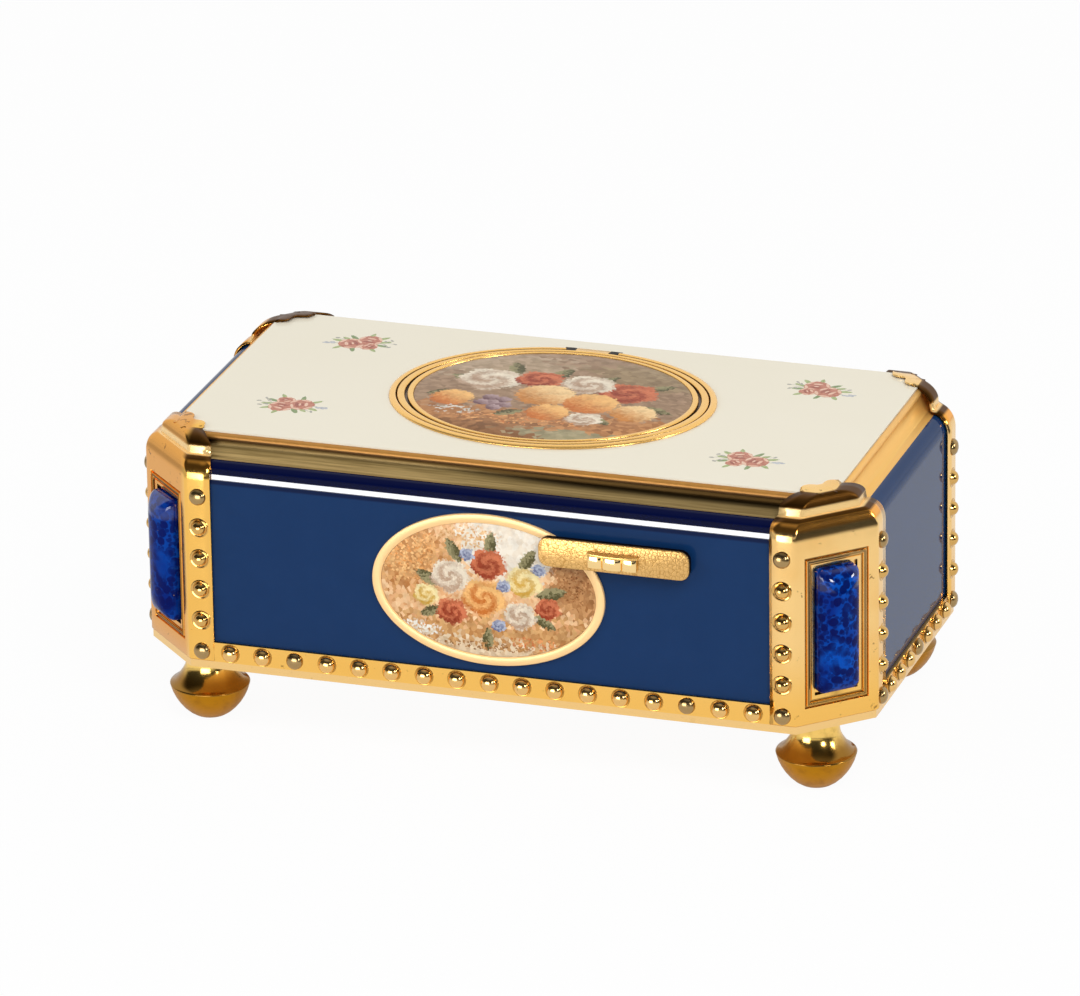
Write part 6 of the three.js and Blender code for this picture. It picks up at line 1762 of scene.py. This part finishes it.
def make_bird():
    body = bird_body()
    add_shoulders(body)
    piece("bird_plumage", body, "plumage", "bird_body", "bird", sharp=60)
    rows = []
    for ahead, wide, tall in UPPER_BEAK:
        rows.append([
            (wide * math.cos(angle), BIRD_Y - ahead, BIRD_Z + 1.32 + tall * max(math.sin(angle), -0.35))
            for angle in around(14)
        ])
    piece("bird_upper_beak", Shape().loft(rows), "ivory", body="bird", sharp=40)
    rows = []
    for ahead, wide, top, bottom in LOWER_BEAK:
        rows.append([
            (wide * math.cos(angle), BIRD_Y - ahead, BIRD_Z + top + (top - bottom) * min(math.sin(angle), 0))
            for angle in around(12)
        ])
    piece("bird_beak_below", Shape().loft(rows), "ivory", "bird_lower_beak", "beak",
          sharp=40)
    eyes = Shape()
    angles = [k * math.pi / 2 / EYE_STEPS for k in range(EYE_STEPS)]
    dome = [(EYE_RADIUS * math.cos(angle), EYE_RISE * math.sin(angle)) for angle in angles]
    for side in (-1, 1):
        place = (side * EYE[0], BIRD_Y - EYE[1], BIRD_Z + EYE[2])
        eyes.turned([(0, -0.3)] + dome + [(0, EYE_RISE)], place, (side, *EYE_FACING), 16)
    piece("bird_eyes", eyes, "black_glass", body="bird")


def make_wings():
    for side, name in ((1, "right"), (-1, "left")):
        outward = Vector((side, 0, 0))
        quills, coverts = Shape(), Shape()
        for k in range(QUILLS):
            share = k / (QUILLS - 1)
            rest = 1 - share
            x = side * (QUILL_OUT + QUILL_STEP * k)
            root = Vector((x, WING_FRONT + 1.0 + 2.2 * share, WING_TOP - 0.35 - 3.0 * rest))
            end = Vector((x, WING_FRONT + 10.9 - 3.4 * rest ** 1.3, WING_TOP - 0.95 - 3.1 * rest ** 0.8))
            length = min((end - root).length, 6.8 + 3.1 * share - 0.25 * k * rest)
            feather(quills, root, end - root, outward, length, QUILL_WIDTH, 0.02)
        for row, (back, count) in enumerate(COVERT_ROWS):
            for i in range(count):
                drop = 0.35 + 3.5 * (i + 0.3 * (row % 2)) / count
                root = Vector((side * (COVERT_OUT + 0.02 * (2 - row)), WING_FRONT + back, WING_TOP - drop))
                along = Vector((0, 1, -0.22 + 0.1 * i / count))
                feather(coverts, root, along, outward, 2.6 + 0.5 * row, QUILL_WIDTH, 0.03)
        for i in range(EDGE_FEATHERS):
            root = Vector((side * EDGE_OUT, WING_FRONT + 0.3 + 1.1 * i, WING_TOP - 0.2))
            feather(coverts, root, Vector((0, 1, -0.12)), outward, 2.2, 0.9, 0.04)
        piece(f"wing_quills_{name}", quills, "quill", f"bird_wing_{name}", f"{name}_wing", sharp=60)
        piece(f"wing_coverts_{name}", coverts, "plumage", body=f"{name}_wing", sharp=60)


def make_tail():
    shape = Shape()
    for k in range(-TAIL_PAIRS, TAIL_PAIRS + 1):
        share = k / TAIL_PAIRS
        root = Vector((0.55 * share, TAIL_FRONT, BIRD_Z + 0.45 - 0.06 * abs(k)))
        along = Vector((0.2 * share, 1, 0))
        feather(shape, root, along, Vector((0, 0, 1)), TAIL_LENGTH - 0.5 * abs(share), QUILL_WIDTH, 0.02)
    piece("tail_plumes", shape, "tail_feathers", "bird_tail", "tail", sharp=60)


# Bellows, and the nodes of the frame that stay as they are

BELLOWS_STEPS = 32
BELLOWS_CORNER = 1.6
FOLDS = 2
FOLD_DEPTH = 0.6
FOLD_ROUND = 0.8
PUCKER = 0.12
PUCKER_ROUND = 2.4
PUCKER_UP = 0.6


def make_bellows():
    """Leather bag with soft folds between the fixed base and the moving board."""
    low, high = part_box("bellows_leather")
    middle = (low + high) / 2
    half = (high - low) / 2 / MM
    foot = low.z / MM
    rows = []
    for k in range(BELLOWS_STEPS + 1):
        share = k / BELLOWS_STEPS
        inset = half.z * FOLD_DEPTH * (0.5 - 0.5 * math.cos(2 * FOLDS * math.pi * share)) ** FOLD_ROUND
        row = []
        for i, (x, y) in enumerate(rounded_ring(half.x - inset, half.y - inset, BELLOWS_CORNER)):
            pucker = PUCKER * math.sin(i * PUCKER_ROUND + k * PUCKER_UP) * math.sin(math.pi * share)
            x -= math.copysign(abs(pucker), x)
            row.append((middle.x / MM + x, middle.y / MM - CASE_Y + y, foot + 2 * half.z * share))
        rows.append(row)
    made = piece("bellows_bag", Shape().loft(rows), "kid_leather", "bellows_leather", body=None, sharp=60)
    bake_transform(made)


def dress_nodes():
    dress("gilt", 0.15, "base_plate")
    dress("polished_gilt", 0.06, "grille")
    dress("steel", 0.04, "mainspring", "winding_arbor", "click", "fly", "whistle_piston")
    dress("movement_brass", 0.06, "bird_turntable", "bird_arm", "slide_bar", "stop_lever", "stop_lever_post",
          "piston_lever")
    dress("movement_brass", 0.04, "movement_lower_plate", "movement_upper_plate", "mainspring_barrel",
          "barrel_cover", "cam_arbor", "song_cams", "third_wheel", "whistle_tube")
    dress("boxwood", 0.12, "bellows_base", "bellows_board")


# Camera, floor and lights, in metres

CAMERA_PLACE = (0.36338, -1.1011, 0.49177)
CAMERA_AZIMUTH = 18.34
CAMERA_ELEVATION = 21.68
CAMERA_ROLL = -0.89
CAMERA_LENS = 286.9
SENSOR_WIDTH = 36
FLOOR_HALF = 8
FLOOR_COLOUR = (0.86, 0.86, 0.86)
FLOOR_SEEN_WHITE = 0.95
FLOOR_MIRRORED_WHITE = 0.45
# The floor looks unlit in reflections where it lies far out in front of the box, less so on the left.
UNLIT_COLOUR = (0.05, 0.05, 0.05)
UNLIT_MIDDLE = 0.03
UNLIT_STRETCH = 0.7
UNLIT_REACH = (0.16, 0.23)
UNLIT_FRONT = (0.12, 0.04)
UNLIT_RIGHT = (-0.05, 0.05)
UNLIT_LEFT = 0.4
WHITE = (1, 1, 1)
STUDIO_LEVEL = 0.5
ROOM_LEVEL = 0.05
BACKDROP_LEVEL = 0.88
HORIZON_LEVEL = 0.7
CEILING_LEVEL = 0.3
BOX_MIDDLE = (0, 0, 0.025)
FRONT_LIGHT_PLACE = (-0.046, -0.17, 0.033)
FRONT_LIGHT_TARGET = (-0.046, 0, 0.033)
FRONT_LIGHT_SIZE = (0.114, 0.064)
STONE_TARGET = Vector((0.052, -0.03, 0.036))
SMALL_LAMP_AZIMUTHS = (48, 92)
SMALL_LAMP_DISTANCE = 0.35
SMALL_LAMP_RISE = 0.36
SMALL_LAMP_SIZE = 0.08


def make_camera():
    azimuth, elevation, roll = (math.radians(a) for a in (CAMERA_AZIMUTH, CAMERA_ELEVATION, CAMERA_ROLL))
    back = Vector((math.sin(azimuth) * math.cos(elevation), -math.cos(azimuth) * math.cos(elevation),
                   math.sin(elevation)))
    right = Vector((math.cos(azimuth), math.sin(azimuth), 0))
    up = back.cross(right)
    turned_right = right * math.cos(roll) + up * math.sin(roll)
    turned_up = up * math.cos(roll) - right * math.sin(roll)
    camera = bpy.data.cameras.new("camera")
    camera.lens = CAMERA_LENS
    camera.sensor_width = SENSOR_WIDTH
    camera.sensor_fit = "HORIZONTAL"
    camera.clip_start = 0.05
    camera.clip_end = 50
    made = add_object("camera", camera)
    axes = Matrix((turned_right, turned_up, back)).transposed()
    made.matrix_world = Matrix.Translation(CAMERA_PLACE) @ axes.to_4x4()
    bpy.context.scene.camera = made


def make_floor():
    """Pale floor that keeps the shadow: near white to the camera, greyer and partly unlit in reflections."""
    mesh = bpy.data.meshes.new("floor")
    corners = [(-1, -1), (1, -1), (1, 1), (-1, 1)]
    mesh.from_pydata([(x * FLOOR_HALF, y * FLOOR_HALF, 0) for x, y in corners], [], [(0, 1, 2, 3)])
    made = add_object("floor", mesh)
    material = bpy.data.materials.new("floor")
    nodes = Nodes(material)
    mirrored = nodes.ray("Glossy")
    bounced = mirrored.most(nodes.ray("Transmission"))
    share = nodes.ray("Camera") * FLOOR_SEEN_WHITE + bounced * FLOOR_MIRRORED_WHITE
    white = nodes.node("ShaderNodeEmission", {}, {"Color": WHITE, "Strength": 1.0})
    surface = nodes.blended(share, nodes.diffuse(FLOOR_COLOUR), white)
    x, y, _ = nodes.node("ShaderNodeNewGeometry", out="Position").parts()
    along = (y - UNLIT_MIDDLE) * UNLIT_STRETCH
    far = ((x * x + along * along) ** 0.5).step(*UNLIT_REACH) * y.step(*UNLIT_FRONT)
    far = far * (x.step(*UNLIT_RIGHT) * (1 - UNLIT_LEFT) + UNLIT_LEFT)
    surface = nodes.blended(mirrored * far, surface, nodes.diffuse(UNLIT_COLOUR))
    nodes.node("ShaderNodeOutputMaterial", {}, {"Surface": surface})
    mesh.materials.append(material)


def make_world():
    """Even soft light; in reflections a white backdrop behind, a dark room in front and a pale ceiling."""
    world = bpy.data.worlds.new("studio")
    bpy.context.scene.world = world
    nodes = Nodes(world)
    x, y, z = nodes.node("ShaderNodeTexCoord", out="Generated").parts()
    behind = y.step(-0.1, 0.3) * z.step(1.0, 0.86) * BACKDROP_LEVEL
    horizon = z.step(0.2, 0.04) * x.step(0.85, 0.5) * HORIZON_LEVEL
    ceiling = z.step(0.7, 1.0) * CEILING_LEVEL
    room = behind.most(horizon).most(ceiling) + ROOM_LEVEL
    seen = nodes.ray("Camera")
    bounced = nodes.ray("Glossy").most(nodes.ray("Transmission"))
    level = seen + (1 - seen) * (bounced * room + (1 - bounced) * STUDIO_LEVEL)
    shade = nodes.node("ShaderNodeBackground", {}, {"Color": WHITE, "Strength": level})
    nodes.node("ShaderNodeOutputWorld", {}, {"Surface": shade})


def light(name, place, target, width, height, radiance, diffuse=True, glossy=True):
    """Rectangular softbox of a given brightness that faces a target."""
    lamp = bpy.data.lights.new(name, "AREA")
    lamp.shape = "RECTANGLE"
    lamp.size = width
    lamp.size_y = height
    lamp.energy = radiance * math.pi * width * height
    made = add_object(name, lamp)
    made.location = place
    made.rotation_euler = (Vector(place) - Vector(target)).to_track_quat("Z", "Y").to_euler()
    made.visible_camera = False
    made.visible_diffuse = diffuse
    made.visible_glossy = glossy


def make_lights():
    light("key", (0.55, -0.75, 1.0), BOX_MIDDLE, 0.7, 0.7, 6.4, glossy=False)
    light("fill", (-0.8, -0.6, 0.6), BOX_MIDDLE, 0.6, 0.6, 2.2, glossy=False)
    light("front panel", FRONT_LIGHT_PLACE, FRONT_LIGHT_TARGET, *FRONT_LIGHT_SIZE, 5.6, diffuse=False)
    for number, azimuth in enumerate(SMALL_LAMP_AZIMUTHS, 1):
        turn = math.radians(azimuth)
        way = Vector((math.sin(turn), -math.cos(turn), SMALL_LAMP_RISE))
        light(f"small lamp {number}", STONE_TARGET + way * SMALL_LAMP_DISTANCE, STONE_TARGET,
              SMALL_LAMP_SIZE, SMALL_LAMP_SIZE, 18, diffuse=False)


make_finishes()
make_camera()
make_floor()
make_world()
make_lights()
make_corners()
make_walls()
make_strips()
make_cove()
make_feet()
make_plate()
make_bezel()
make_lid()
make_plaque()
make_slide()
make_sprays()
make_bird()
make_wings()
make_tail()
make_bellows()
dress_nodes()

bpy.context.scene.view_settings.view_transform = "Standard"
